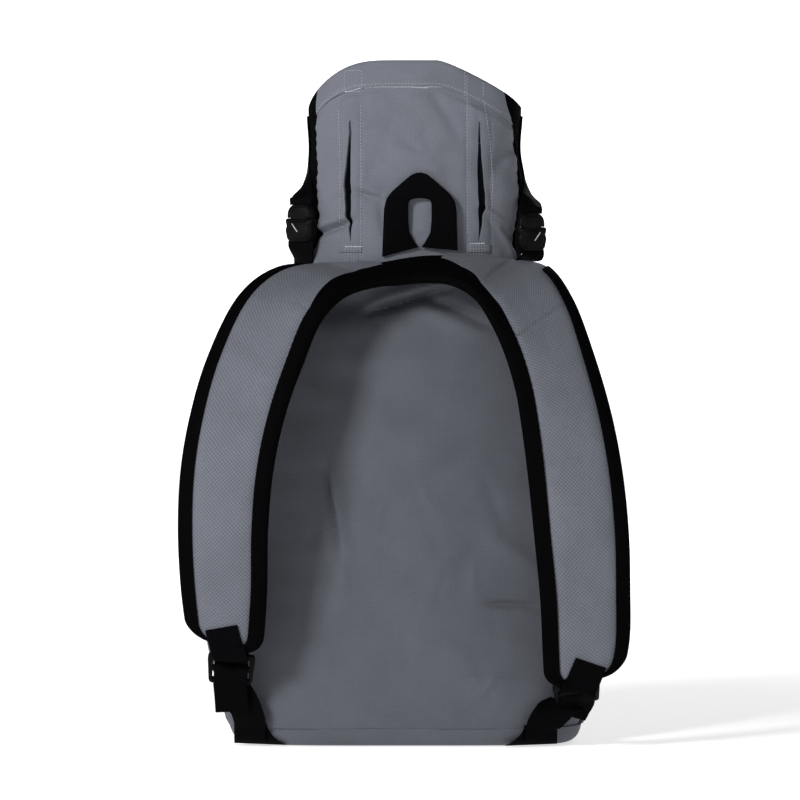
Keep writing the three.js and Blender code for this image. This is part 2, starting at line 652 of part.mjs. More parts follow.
// The adjuster comes up from the base, passes behind the low bar, turns over the grip bar and ends in a
// short free tail in front.
function makeAdjuster(place, frame) {
  const anchorX = (place.anchorOut * bodyWidth) / 2;
  const behind = -(lockThickness / 2 + 2 * clearance + webbingThickness / 2 + 0.3);
  const slack = 7; // how far the adjuster bulges towards the viewer below the lock
  const lift = anchorThickness + 6 * clearance + webbingThickness / 2;
  const low = anchorHeights.slice(2, 6).map((z) => ({ ...cornerPlane(place.side, anchorX, z, lift), level: true }));
  const entry = onFrame(frame, lowBar - 8, behind - 1);
  const start = low[low.length - 1];
  const reach = [0.25, 0.5, 0.75].map((share) => {
    const point = start.point.clone().lerp(entry.point, share);
    point.x = lerp(start.point.x, entry.point.x, share ** 2.2);
    point.y = lerp(start.point.y, entry.point.y, share) - slack * Math.sin(Math.PI * share);
    return { point, across: start.across.clone().lerp(frame.across, Math.sqrt(share)).normalize() };
  });
  const path = [
    ...low,
    ...reach,
    entry,
    onFrame(frame, lowBar - 3, behind),
    onFrame(frame, lowBar + 1, behind),
    onFrame(frame, gripBar - 3, -threadRadius),
    ...roundBar(frame, gripBar, threadRadius, 180, 0),
    onFrame(frame, gripBar - 3, threadRadius),
    onFrame(frame, lowBar, -behind),
    onFrame(frame, lowBar - place.tail * 0.5, 1 - behind, place.tailSlide * 0.5),
    onFrame(frame, lowBar - place.tail, 3 - behind, place.tailSlide),
  ];
  addPiece(`adjuster_${place.side}`, webbing(path, webbingWidth), materials.webbing);
  makeAnchor(place, anchorX);
}

// The flared tab that is sewn into the base seam behind the adjuster.
function makeAnchor({ side }, anchorX) {
  const inward = side === "left" ? 1 : -1;
  const reach = webbingWidth / 2;
  const rings = anchorHeights.map((z) => {
    const flare = (1 - z / anchorHeight) ** 2;
    const edges = [anchorX - inward * reach, anchorX + inward * lerp(reach, anchorWidth - reach, flare)];
    const layer = (out) => [0, 0.5, 1].map((share) => cornerPlane(side, lerp(...edges, share), z, out).point);
    return [...layer(2 * clearance + anchorThickness), ...layer(2 * clearance).reverse()];
  });
  addPiece(`anchor_tab_${side}`, loft(rings), materials.webbing);
}

// The yoke's sewn edge as a height over x, for what stands on it.
function yokeTop(x) {
  const [from, to] = [8, 12];
  for (let row = from; row < to; row += 0.1) {
    const next = outerEdge.getPoint((row + 0.1) / rowSpan);
    const here = outerEdge.getPoint(row / rowSpan);
    if (x <= next.x) return lerp(here.z, next.z, THREE.MathUtils.clamp((x - here.x) / (next.x - here.x), 0, 1));
  }
  return outerEdge.getPoint(to / rowSpan).z;
}

// The hang loop is one strip folded to a point, which stands up from the yoke's seam.
function makeGrabLoop() {
  const middle = collarLean * 1.5;
  const half = loopWidth / 2;
  const foot = (x) => yokeTop(middle + x) + paddingTop * 0.55 + clearance;
  const base = foot(0);
  const low = (x) => foot(x) - base;
  const outline = new THREE.Shape();
  outline.moveTo(-half, low(-half));
  outline.lineTo(-half * 0.96, loopHeight * 0.53);
  outline.quadraticCurveTo(-half * 0.92, loopHeight * 0.69, -half * 0.74, loopHeight * 0.76);
  outline.lineTo(-half * 0.24, loopHeight * 0.97);
  outline.quadraticCurveTo(0, loopHeight * 1.03, half * 0.24, loopHeight * 0.97);
  outline.lineTo(half * 0.8, loopHeight * 0.72);
  outline.quadraticCurveTo(half * 0.95, loopHeight * 0.64, half * 0.97, loopHeight * 0.5);
  outline.lineTo(half, low(half));
  outline.lineTo(0, 0);
  const hole = new THREE.Path();
  const [side, floor] = [loopHoleWidth / 2, 2.6];
  const ceiling = floor + loopHoleHeight;
  hole.moveTo(0, floor);
  hole.quadraticCurveTo(side * 0.9, floor + loopHoleHeight * 0.2, side, floor + loopHoleHeight * 0.55);
  hole.lineTo(side, ceiling - 4);
  hole.quadraticCurveTo(side, ceiling, side - 4, ceiling);
  hole.lineTo(4 - side, ceiling);
  hole.quadraticCurveTo(-side, ceiling, -side, ceiling - 4);
  hole.lineTo(-side, floor + loopHoleHeight * 0.55);
  hole.quadraticCurveTo(-side * 0.9, floor + loopHoleHeight * 0.2, 0, floor);
  outline.holes.push(hole);
  const shape = { depth: loopThickness, bevelEnabled: false, curveSegments: 5 };
  const geometry = new THREE.ExtrudeGeometry(outline, shape).rotateX(Math.PI / 2);
  const loop = addPiece("grab_loop", geometry, materials.webbing);
  const deepest = Math.max(...[0, 0.1, 0.2, 0.3].map((share) => sectionAt(base + share * loopHeight).back));
  loop.rotation.x = radians(loopTilt);
  loop.position.set(middle, -deepest - 2 * clearance, base);
}

// A strap down each side of the collar, with a two-part buckle that faces the viewer and a short strap to the
// shoulder. aside is how far the buckle's middle is out from the collar's side, as a share of buckleWidth, and
// forward how far it is in front of the collar's middle, as a share of half of mouthDepth; foot is in degrees
// round from the side, where the short strap is sewn on.
const sideStraps = [
  { side: "left", out: -1, z: bodyHeight + 0.206 * collarHeight, aside: 0.19, forward: 0.58, foot: 25 },
  { side: "right", out: 1, z: bodyHeight + 0.1625 * collarHeight, aside: 0.33, forward: 0.51, foot: 24 },
];

function makeSideStrap({ side, out, z, aside, forward, foot }) {
  const surface = (height, proud, toViewer = 0) => {
    const s = sectionAt(height);
    return at(s.middle + out * (s.half + proud), -toViewer, height);
  };
  const lie = clearance + webbingThickness / 2 + 0.15;
  const turn = radians(buckleTurn);
  const flat = at(0, 1, 0);
  const turned = at(out * Math.sin(turn), Math.cos(turn), 0);
  const top = rimZ(out < 0 ? Math.PI : 0) - hemHeight * 0.3;
  const [off, front] = [aside * buckleWidth, (forward * mouthDepth) / 2];
  const middle = surface(z, off, front);
  const [buckleTop, buckleFoot] = [z + buckleHeight / 2, z - buckleHeight / 2];
  const leave = buckleTop + 0.87 * buckleHeight; // where the strap leaves the gusset
  const bar = 3; // the depth of the bar that the webbing is held on
  const twist = (share) => flat.clone().lerp(turned, share).normalize();

  // Down the gusset's side, then forward to the buckle while it twists towards the viewer.
  const upper = [
    ...[0, 0.35, 0.7].map((share) => ({ point: surface(lerp(top, leave, share), lie), across: flat })),
    ...[
      { rise: 0.87, out: 0, front: 0.06, twist: 0 },
      { rise: 0.57, out: 0.25, front: 0.35, twist: 0.12 },
      { rise: 0.3, out: 0.65, front: 0.78, twist: 0.5 },
    ].map((step) => ({
      point: surface(buckleTop + step.rise * buckleHeight, lerp(lie, off, step.out), front * step.front),
      across: twist(step.twist),
    })),
    { point: middle.clone().setZ(buckleTop + 0.13 * buckleHeight), across: turned },
    { point: middle.clone().setZ(buckleTop + clearance), across: turned, level: true },
  ];
  addPiece(`side_webbing_${side}`, webbing(upper, sideWebbingWidth), materials.webbing);

  const sewn = (height, proud) => {
    const angle = out < 0 ? Math.PI + radians(foot) : 2 * Math.PI - radians(foot);
    const across = skin(angle - out * 0.01, height, proud).sub(skin(angle + out * 0.01, height, proud)).normalize();
    return { point: skin(angle, height, proud), across: across.multiplyScalar(Math.sign(across.y)) };
  };
  const low = sewn(bodyHeight - sideWebbingWidth / 4, lie + 1);
  const near = sewn(bodyHeight + sideWebbingWidth / 10, lie + 2.5);
  const lower = [
    { point: middle.clone().setZ(buckleFoot - 2 * clearance), across: turned },
    { point: middle.clone().setZ(buckleFoot - 0.13 * buckleHeight), across: turned },
    { point: near.point, across: near.across.clone().lerp(turned, 0.2).normalize() },
    low,
  ];
  addPiece(`side_anchor_${side}`, webbing(lower, sideWebbingWidth), materials.webbing);

  const buckle = new THREE.Group();
  buckle.position.copy(middle);
  buckle.rotation.z = Math.atan2(turned.y, turned.x);
  group.add(buckle);
  const split = buckleHeight * 0.12;
  addPiece(`side_plug_${side}`, plugHalf(split, bar), materials.plastic, buckle);
  addPiece(`side_socket_${side}`, socketHalf(split, bar), materials.plastic, buckle);
}

function extrudeFlat(shape, thickness) {
  const geometry = new THREE.ExtrudeGeometry(shape, { depth: thickness, bevelEnabled: false, curveSegments: 4 });
  return geometry.rotateX(Math.PI / 2).translate(0, thickness / 2, 0);
}

// The upper half of a buckle: a wide bar with sloping shoulders.
function plugHalf(split, bar) {
  const [half, high, low] = [buckleWidth / 2, buckleHeight / 2, split + clearance];
  const shape = new THREE.Shape();
  shape.moveTo(-half * 0.86, low);
  shape.lineTo(half * 0.86, low);
  shape.lineTo(half * 0.92, high - bar);
  shape.quadraticCurveTo(half * 0.92, high, half * 0.6, high);
  shape.lineTo(-half * 0.6, high);
  shape.quadraticCurveTo(-half * 0.92, high, -half * 0.92, high - bar);
  return extrudeFlat(shape, buckleThickness * 0.6);
}

// The lower half: a deep body with a waist where the prongs show.
function socketHalf(split, bar) {
  const [half, low] = [buckleWidth / 2, -buckleHeight / 2];
  const shape = new THREE.Shape();
  shape.moveTo(-half, split);
  shape.quadraticCurveTo(-half * 0.72, split - 5, -half, split - 10);
  shape.lineTo(-half * 0.94, low + bar);
  shape.quadraticCurveTo(-half * 0.9, low, -half * 0.6, low);
  shape.lineTo(half * 0.6, low);
  shape.quadraticCurveTo(half * 0.9, low, half * 0.94, low + bar);
  shape.lineTo(half, split - 10);
  shape.quadraticCurveTo(half * 0.72, split - 5, half, split);
  return extrudeFlat(shape, buckleThickness);
}

makeBody();
makeCollar();
makePatches();
makeHarness();
lockPlaces.forEach(makeStrapEnd);
makeGrabLoop();
sideStraps.forEach(makeSideStrap);

// The origin is on the floor, under the middle of the whole object.
const bounds = new THREE.Box3().setFromObject(group, true);
const middle = bounds.getCenter(at(0, 0, 0));
group.position.set(-middle.x, -middle.y, -bounds.min.z);

export default group;
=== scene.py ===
import math

import bmesh
import bpy
import numpy as np
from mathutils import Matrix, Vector


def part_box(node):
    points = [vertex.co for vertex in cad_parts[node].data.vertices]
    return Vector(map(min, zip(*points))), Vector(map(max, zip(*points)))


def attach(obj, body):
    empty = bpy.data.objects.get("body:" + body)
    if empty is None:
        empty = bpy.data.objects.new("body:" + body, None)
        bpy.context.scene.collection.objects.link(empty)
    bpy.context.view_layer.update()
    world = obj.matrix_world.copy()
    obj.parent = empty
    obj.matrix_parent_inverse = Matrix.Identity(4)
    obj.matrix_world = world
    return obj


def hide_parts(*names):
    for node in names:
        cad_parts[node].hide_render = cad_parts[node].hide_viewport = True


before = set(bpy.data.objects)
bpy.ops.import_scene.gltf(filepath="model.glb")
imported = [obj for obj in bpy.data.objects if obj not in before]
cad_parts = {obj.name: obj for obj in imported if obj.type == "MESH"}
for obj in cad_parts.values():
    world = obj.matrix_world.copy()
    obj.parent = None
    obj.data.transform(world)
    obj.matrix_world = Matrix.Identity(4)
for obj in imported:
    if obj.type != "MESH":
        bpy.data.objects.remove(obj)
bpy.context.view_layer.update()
print("frame loaded,", len(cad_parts), "nodes")

# Sizes below are in millimetres, measured from the middle of the bag's base; metres come in at the end.

bag = {
    "bodyWidth": 303,
    "bodyHeight": 374,
    "bodyDepth": 196,
    "collarHeight": 160,
    "mouthWidth": 167,
    "mouthDepth": 118,
    "collarLean": 8,
    "backWall": 2.6,
    "sideWall": 1.8,
    "collarWall": 1.4,
    "seamGap": 0.1,
    "baseRound": 8,
    "panHeight": 14,
    "hemHeight": 21,
    "hemProud": 0.8,
    "sideSeam": 24,  # degrees round from the side
    "rimSideFall": 37,
    "rimFrontFall": 45,
}

# up, middle, width, back, front and squareness of the body's level sections
bodySections = [
    (0.0, 0.004, 0.886, 0.87, 0.87, 4.6),
    (0.06, 0.0, 0.935, 0.93, 0.93, 4.3),
    (0.175, -0.013, 0.987, 0.985, 0.99, 3.6),
    (0.28, -0.016, 1.0, 1.0, 1.0, 3.1),
    (0.45, -0.013, 0.972, 0.985, 0.98, 2.8),
    (0.62, -0.013, 0.912, 0.945, 0.93, 2.6),
    (0.78, -0.01, 0.818, 0.86, 0.84, 2.6),
    (0.9, 0.002, 0.711, 0.74, 0.73, 2.5),
    (1.0, 0.018, 0.589, 0.625, 0.63, 2.4),
]

# up, middle, width, back, front and the two side seams of the collar's sections
collarSections = [
    (0.12, 0.85, 1.0, 1.035, 0.98, 29, 22),
    (0.36, 1.13, 1.03, 1.03, 0.97, 30, 22),
    (0.56, 1.0, 0.985, 1.04, 0.95, 27, 18),
    (0.76, 1.02, 1.005, 1.02, 0.92, 28, 35),
    (0.86, 1.05, 0.985, 1.01, 0.9, 28, 38),
    (1.0, 1.1, 0.91, 0.97, 0.88, 25, 38),
]
collarSquare = 2.4


def mix(a, b, share):
    return a + (b - a) * share


def smoothTrack(rows):  # a smooth curve through table rows whose first column is the height
    table = np.array(rows, float)
    keys = table[:, 0]
    last = len(keys) - 1

    def read(value):
        value = np.asarray(value, float)
        k = np.clip(np.searchsorted(keys, value, side="right") - 1, 0, last - 1)
        a, b = table[k], table[k + 1]
        before, after = table[np.maximum(k - 1, 0)], table[np.minimum(k + 2, last)]
        span = (b[..., 0] - a[..., 0])[..., None]
        s = np.clip((value[..., None] - a[..., :1]) / span, 0, 1)
        slopeIn = (b - before) / (b[..., :1] - before[..., :1]) * span
        slopeOut = (after - a) / (after[..., :1] - a[..., :1]) * span
        found = a * (1 + 2 * s) * (1 - s) ** 2 + slopeIn * s * (1 - s) ** 2
        return found + b * s * s * (3 - 2 * s) - slopeOut * s * s * (1 - s)

    return read


def sectionRows():
    rows = []
    for up, middle, width, back, front, square in bodySections:
        halfWidth, halfDepth = bag["bodyWidth"] / 2, bag["bodyDepth"] / 2
        seam = bag["sideSeam"]
        rows.append((up * bag["bodyHeight"], middle * bag["bodyWidth"], width * halfWidth,
                     back * halfDepth, front * halfDepth, square, seam, seam))
    for up, middle, width, back, front, seamLeft, seamRight in collarSections:
        halfWidth, halfDepth = bag["mouthWidth"] / 2, bag["mouthDepth"] / 2
        rows.append((bag["bodyHeight"] + up * bag["collarHeight"], middle * bag["collarLean"],
                     width * halfWidth, back * halfDepth, front * halfDepth, collarSquare,
                     seamLeft, seamRight))
    return rows


sectionTrack = smoothTrack(sectionRows())


def sectionAt(z):
    found = sectionTrack(z)
    names = ("z", "middle", "half", "back", "front", "square", "seamLeft", "seamRight")
    return {name: found[..., i] for i, name in enumerate(names)}


def skin(angle, z, out=0.0):  # the bag's outer surface, pushed out by a distance
    s = sectionAt(z)
    c, d = np.cos(angle), np.sin(angle)
    reach = (np.abs(c) ** s["square"] + np.abs(d) ** s["square"]) ** (-1 / s["square"])
    depth = np.where(d < 0, s["back"], s["front"])
    x = s["middle"] + (s["half"] + out) * c * reach
    return np.stack([x, (depth + out) * d * reach, z + 0 * x], -1)


def backY(x, z, out=0.0):
    s = sectionAt(z)
    across = np.minimum(1, np.abs(x - s["middle"]) / (s["half"] + out))
    return -(s["back"] + out) * (1 - across ** s["square"]) ** (1 / s["square"])


def backAngle(x, z):
    s = sectionAt(z)
    return np.arctan2(backY(x, z) / s["back"], (x - s["middle"]) / s["half"]) + 2 * math.pi


def baseInset(z):
    r = bag["baseRound"]
    return np.where(z < r, r - np.sqrt(np.maximum(0, r * r - (r - z) ** 2)), 0)


def rimZ(angle):
    top = bag["bodyHeight"] + bag["collarHeight"]
    rise = np.sin(angle)
    aside = np.maximum(0, (np.abs(np.cos(angle)) - 0.22) / 0.78)
    bend = np.where(np.cos(angle) < 0, 3.4, 1.35)
    behind = top - mix(bag["rimSideFall"], bag["rimFrontFall"], rise)
    return np.where(rise > 0, behind, top - bag["rimSideFall"] * aside ** bend)


def gapTurn(z):
    return bag["seamGap"] / sectionAt(z)["front"]


def leftSeam(z):
    return math.pi + np.radians(sectionAt(z)["seamLeft"]) + gapTurn(z) / 2


def rightSeam(z):
    return 2 * math.pi - np.radians(sectionAt(z)["seamRight"]) - gapTurn(z) / 2


# The bag's place in the row frame comes from its base panel.
baseLow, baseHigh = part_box("base_panel")
panTop = sectionAt(bag["panHeight"] - bag["seamGap"] / 2)
bagShift = np.array([
    (baseLow.x + baseHigh.x) * 500 - panTop["middle"],
    baseLow.y * 1000 + panTop["back"],
    baseLow.z * 1000,
])


def buildMesh(name, points, faces, uvs, sharp=38):  # uvs has one pair for each point, in millimetres
    mesh = bpy.data.meshes.new(name)
    mesh.from_pydata(((points + bagShift) / 1000).tolist(), [], [list(map(int, f)) for f in faces])
    layer = mesh.uv_layers.new(name="clothMillimetres")
    corners = np.empty(len(mesh.loops), np.int32)
    mesh.loops.foreach_get("vertex_index", corners)
    layer.data.foreach_set("uv", np.asarray(uvs, np.float32)[corners].ravel())
    work = bmesh.new()
    work.from_mesh(mesh)
    bmesh.ops.remove_doubles(work, verts=work.verts, dist=1e-6)
    bmesh.ops.recalc_face_normals(work, faces=work.faces)
    work.to_mesh(mesh)
    work.free()
    for face in mesh.polygons:
        face.use_smooth = True
    mesh.set_sharp_from_angle(angle=math.radians(sharp))
    piece = bpy.data.objects.new(name, mesh)
    bpy.context.scene.collection.objects.link(piece)
    return piece


def finishPiece(piece, material, slot, nodes=()):
    piece.data.materials.clear()
    piece.data.materials.append(material)
    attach(piece, "root")
    if nodes:
        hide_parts(*nodes)
    return piece


def gridFaces(rows, cols, start=0, flip=False):
    index = np.arange(rows * cols).reshape(rows, cols) + start
    quads = np.stack([index[:-1, :-1], index[:-1, 1:], index[1:, 1:], index[1:, :-1]], -1).reshape(-1, 4)
    return quads[:, ::-1] if flip else quads


def rimFaces(rows, cols, innerStart, sides=("low", "high", "left", "right")):
    index = np.arange(rows * cols).reshape(rows, cols)
    edges = {"low": index[0], "high": index[-1], "left": index[:, 0], "right": index[:, -1]}
    quads = []
    for side in sides:
        line = edges[side]
        far = line + innerStart
        quads.append(np.stack([line[:-1], line[1:], far[1:], far[:-1]], -1))
    return np.concatenate(quads)


def measureAlong(grid, axis):  # running length of a grid's lines, from their middle
    steps = np.linalg.norm(np.diff(grid, axis=axis), axis=-1)
    start = np.zeros_like(np.take(steps, [0], axis=axis))
    run = np.concatenate([start, np.cumsum(steps, axis=axis)], axis=axis)
    middle = np.take(run, [run.shape[axis] // 2], axis=axis)
    return run - middle


def clothShell(name, outer, inner, material, slot, nodes=(), sharp=38):  # two grids closed by a rim
    rows, cols = outer.shape[:2]
    count = rows * cols
    points = np.concatenate([outer.reshape(-1, 3), inner.reshape(-1, 3)])
    faces = np.concatenate([gridFaces(rows, cols), gridFaces(rows, cols, count, True),
                            rimFaces(rows, cols, count)])
    uv = np.stack([measureAlong(outer, 1), outer[..., 2]], -1).reshape(-1, 2)
    piece = buildMesh(name, points, faces, np.concatenate([uv, uv]), sharp)
    return finishPiece(piece, material, slot, nodes)


def ripple(a, b, seed, length, count=7):  # a smooth random wave over two coordinates, about -1 to 1
    chance = np.random.default_rng(seed)
    total = 0
    for _ in range(count):
        turn = chance.uniform(0, 2 * math.pi)
        wave = chance.uniform(0.7, 1.5) * 2 * math.pi / length
        total = total + np.sin((a * math.cos(turn) + b * math.sin(turn)) * wave + chance.uniform(0, 6.28))
    return total / math.sqrt(count) / 1.4


def foldRelief(x, z, folds):  # creases and ridges along short lines on the cloth
    total = 0
    for fold in folds:
        ax, az = fold["start"]
        bx, bz = fold["end"]
        dx, dz = bx - ax, bz - az
        length = math.hypot(dx, dz)
        along = ((x - ax) * dx + (z - az) * dz) / length ** 2
        near = np.clip(along, 0, 1)
        bow = fold.get("bow", 0) * 4 * near * (1 - near)
        side = ((x - ax) * dz - (z - az) * dx) / length - bow
        past = (along - near) * length
        taper = np.exp(-(past / (fold["width"] * 1.8)) ** 2) * (0.45 + 2.2 * near * (1 - near))
        core = np.exp(-(side / fold["width"]) ** 2)
        shoulder = np.exp(-((side - fold.get("lean", 1) * 2.1 * fold["width"]) / (1.7 * fold["width"])) ** 2)
        total = total + fold["height"] * taper * (core - 0.55 * shoulder)
    return total


def scatterFolds(seed, count, area, lengths, widths, height):  # small creases in all directions
    chance = np.random.default_rng(seed)
    folds = []
    for _ in range(count):
        x, z = chance.uniform(area[0], area[2]), chance.uniform(area[1], area[3])
        turn, length = chance.uniform(0, math.pi), chance.uniform(*lengths)
        width = chance.uniform(*widths)
        folds.append({"start": (x, z), "end": (x + length * math.cos(turn), z + length * math.sin(turn)),
                      "width": width, "height": height * chance.uniform(-1, 0.8), "bow": chance.uniform(-3, 3),
                      "lean": chance.choice([-1, 1])})
    return folds


# Materials

def newMaterial(name, roughness, sheen=0.0, sheenRough=0.5, specular=0.3):
    material = bpy.data.materials.new(name)
    material.use_nodes = True
    nodes = material.node_tree.nodes
    shader = nodes["Principled BSDF"]
    shader.inputs["Roughness"].default_value = roughness
    shader.inputs["Specular IOR Level"].default_value = specular
    shader.inputs["Sheen Weight"].default_value = sheen
    shader.inputs["Sheen Roughness"].default_value = sheenRough
    return material, nodes, material.node_tree.links, shader


def mathNode(nodes, links, kind, first, second=None):
    node = nodes.new("ShaderNodeMath")
    node.operation = kind
    for socket, value in zip(node.inputs, (first, second)):
        if value is None:
            continue
        if isinstance(value, (int, float)):
            socket.default_value = value
        else:
            links.new(value, socket)
    return node.outputs[0]


def weaveHeight(nodes, links, pitch, turn, twill):  # 0 to 1 over the cloth's threads
    uv = nodes.new("ShaderNodeUVMap")
    uv.uv_map = "clothMillimetres"
    place = nodes.new("ShaderNodeMapping")
    place.inputs["Rotation"].default_value = (0, 0, math.radians(turn))
    place.inputs["Scale"].default_value = (2 * math.pi / pitch[0], 2 * math.pi / pitch[1], 1)
    links.new(uv.outputs["UV"], place.inputs["Vector"])
    parts = nodes.new("ShaderNodeSeparateXYZ")
    links.new(place.outputs["Vector"], parts.inputs["Vector"])
    across, along = parts.outputs["X"], parts.outputs["Y"]
    warp = mathNode(nodes, links, "SINE", mathNode(nodes, links, "ADD", across,
                    mathNode(nodes, links, "MULTIPLY", along, twill)))
    weft = mathNode(nodes, links, "SINE", along)
    both = mathNode(nodes, links, "MULTIPLY", mathNode(nodes, links, "ADD", warp, weft), 0.25)
    return mathNode(nodes, links, "ADD", both, 0.5), uv.outputs["UV"]


def wovenMaterial(look):
    material, nodes, links, shader = newMaterial(look["name"], look["roughness"], look["sheen"],
                                                 specular=look.get("specular", 0.3))
    height, uv = weaveHeight(nodes, links, look["pitch"], look.get("turn", 0), look.get("twill", 0))
    cloud = nodes.new("ShaderNodeTexNoise")  # slow changes of tone over the cloth
    cloud.inputs["Scale"].default_value = 1 / look["cloudSize"]
    cloud.inputs["Detail"].default_value = 4
    links.new(uv, cloud.inputs["Vector"])
    slub = nodes.new("ShaderNodeTexNoise")  # uneven yarn
    slub.inputs["Scale"].default_value = 1 / look["slubSize"]
    slub.inputs["Detail"].default_value = 2
    links.new(uv, slub.inputs["Vector"])
    tone = mathNode(nodes, links, "MULTIPLY", height, look["threadShade"])
    tone = mathNode(nodes, links, "ADD", tone,
                    mathNode(nodes, links, "MULTIPLY", slub.outputs["Fac"], look["slubShade"]))
    tone = mathNode(nodes, links, "ADD", tone,
                    mathNode(nodes, links, "MULTIPLY", cloud.outputs["Fac"], look["cloudShade"]))
    ramp = nodes.new("ShaderNodeValToRGB")
    ramp.color_ramp.elements[0].color = (*look["dark"], 1)
    ramp.color_ramp.elements[1].color = (*look["light"], 1)
    links.new(tone, ramp.inputs["Fac"])
    links.new(ramp.outputs["Color"], shader.inputs["Base Color"])
    bump = nodes.new("ShaderNodeBump")
    bump.inputs["Strength"].default_value = look["bump"]
    bump.inputs["Distance"].default_value = look["threadDepth"] / 1000
    links.new(mathNode(nodes, links, "ADD", height,
                       mathNode(nodes, links, "MULTIPLY", slub.outputs["Fac"], 0.5)), bump.inputs["Height"])
    links.new(bump.outputs["Normal"], shader.inputs["Normal"])
    return material


clothLook = {
    "name": "bodyCloth", "roughness": 0.82, "sheen": 0.04, "pitch": (1.5, 1.5), "cloudSize": 42,
    "slubSize": 1.5, "threadShade": 0.25, "slubShade": 0.4, "cloudShade": 0.35,
    "dark": (0.05, 0.053, 0.064), "light": (0.15, 0.16, 0.19), "bump": 0.7, "threadDepth": 0.16,
}
# Painted shade: the same cloth as bodyCloth, made darker, for the back panel between the straps and for the base pan.
shadedBackLook = {**clothLook, "name": "shadedBackCloth", "dark": (0.032, 0.034, 0.041), "light": (0.103, 0.11, 0.132),
            "cloudSize": 60, "cloudShade": 0.45, "threadShade": 0.2, "slubShade": 0.35}
padLook = {
    "name": "padCloth", "roughness": 0.85, "sheen": 0.02, "pitch": (2.2, 2.2), "turn": 45, "cloudSize": 40,
    "slubSize": 1.6, "threadShade": 0.5, "slubShade": 0.3, "cloudShade": 0.3,
    "dark": (0.03, 0.032, 0.039), "light": (0.155, 0.164, 0.195), "bump": 0.9, "threadDepth": 0.3,
}
meshLook = {
    "name": "knitMesh", "roughness": 0.9, "sheen": 0.0, "specular": 0.01, "pitch": (2.1, 2.4), "turn": 0, "twill": 1,
    "cloudSize": 30, "slubSize": 1, "threadShade": 0.8, "slubShade": 0.1, "cloudShade": 0.1,
    "dark": (0.0003, 0.0003, 0.0004), "light": (0.0021, 0.0021, 0.0027), "bump": 0.8, "threadDepth": 0.5,
}
bindingLook = {
    "name": "bindingTape", "roughness": 0.78, "sheen": 0.0, "specular": 0.015, "pitch": (60, 1.5), "cloudSize": 30,
    "slubSize": 1.2, "threadShade": 0.6, "slubShade": 0.2, "cloudShade": 0.2,
    "dark": (0.0003, 0.0003, 0.0004), "light": (0.0019, 0.0019, 0.0023), "bump": 0.7, "threadDepth": 0.22,
}
webbingLook = {
    "name": "beltWebbing", "roughness": 0.72, "sheen": 0.0, "specular": 0.02, "pitch": (2.6, 1.3), "twill": 1,
    "cloudSize": 25, "slubSize": 1, "threadShade": 0.65, "slubShade": 0.2, "cloudShade": 0.15,
    "dark": (0.0003, 0.0003, 0.0004), "light": (0.0021, 0.0021, 0.0027), "bump": 0.8, "threadDepth": 0.3,
}
cloth = wovenMaterial(clothLook)
shadedBackCloth = wovenMaterial(shadedBackLook)
padCloth = wovenMaterial(padLook)
knitMesh = wovenMaterial(meshLook)
tape = wovenMaterial(bindingLook)
belt = wovenMaterial(webbingLook)


# Black moulded plastic with lighter scuffs; in the pale grey variant both tones are a painted highlight.
def plasticMaterial(name, specular, colour, scuffAndGlint):
    look = {"grain": 2200, "bump": 0.12}
    material, nodes, links, shader = newMaterial(name, 0.5, specular=specular)
    place = nodes.new("ShaderNodeTexCoord")
    grain = nodes.new("ShaderNodeTexNoise")
    grain.inputs["Scale"].default_value = look["grain"]
    links.new(place.outputs["Object"], grain.inputs["Vector"])
    wearAndGlint = nodes.new("ShaderNodeTexNoise")
    wearAndGlint.inputs["Scale"].default_value = 90
    wearAndGlint.inputs["Detail"].default_value = 6
    links.new(place.outputs["Object"], wearAndGlint.inputs["Vector"])
    ramp = nodes.new("ShaderNodeValToRGB")
    ramp.color_ramp.elements[0].position = 0.45
    ramp.color_ramp.elements[0].color = (*colour, 1)
    ramp.color_ramp.elements[1].position = 0.75
    ramp.color_ramp.elements[1].color = (*scuffAndGlint, 1)
    links.new(wearAndGlint.outputs["Fac"], ramp.inputs["Fac"])
    links.new(ramp.outputs["Color"], shader.inputs["Base Color"])
    rough = nodes.new("ShaderNodeMapRange")
    rough.inputs["To Min"].default_value = 0.42
    rough.inputs["To Max"].default_value = 0.6
    links.new(wearAndGlint.outputs["Fac"], rough.inputs["Value"])
    links.new(rough.outputs["Result"], shader.inputs["Roughness"])
    bump = nodes.new("ShaderNodeBump")
    bump.inputs["Strength"].default_value = look["bump"]
    bump.inputs["Distance"].default_value = 0.0001
    links.new(grain.outputs["Fac"], bump.inputs["Height"])
    links.new(bump.outputs["Normal"], shader.inputs["Normal"])
    return material


def threadMaterial(name, dark, light):
    material, nodes, links, shader = newMaterial(name, 0.6, 0.1)
    uv = nodes.new("ShaderNodeUVMap")
    uv.uv_map = "clothMillimetres"
    twist = nodes.new("ShaderNodeTexWave")
    twist.bands_direction = "DIAGONAL"
    twist.inputs["Scale"].default_value = 1.6
    links.new(uv.outputs["UV"], twist.inputs["Vector"])
    ramp = nodes.new("ShaderNodeValToRGB")
    ramp.color_ramp.elements[0].color = (*dark, 1)
    ramp.color_ramp.elements[1].color = (*light, 1)
    links.new(twist.outputs["Fac"], ramp.inputs["Fac"])
    links.new(ramp.outputs["Color"], shader.inputs["Base Color"])
    return material


plastic = plasticMaterial("mouldedPlastic", 0.05, (0.0018, 0.0018, 0.002), (0.004, 0.004, 0.0045))
# Pale grey plastic for the buckle socket ridges: a painted highlight.
glintPlastic = plasticMaterial("glintPlastic", 0.3, (0.3, 0.3, 0.3), (0.5, 0.5, 0.5))
paleThread = threadMaterial("paleThread", (0.3, 0.31, 0.34), (0.52, 0.53, 0.56))
greyThread = threadMaterial("greyThread", (0.16, 0.168, 0.19), (0.32, 0.33, 0.37))
print("materials made")


# The walls of the bag

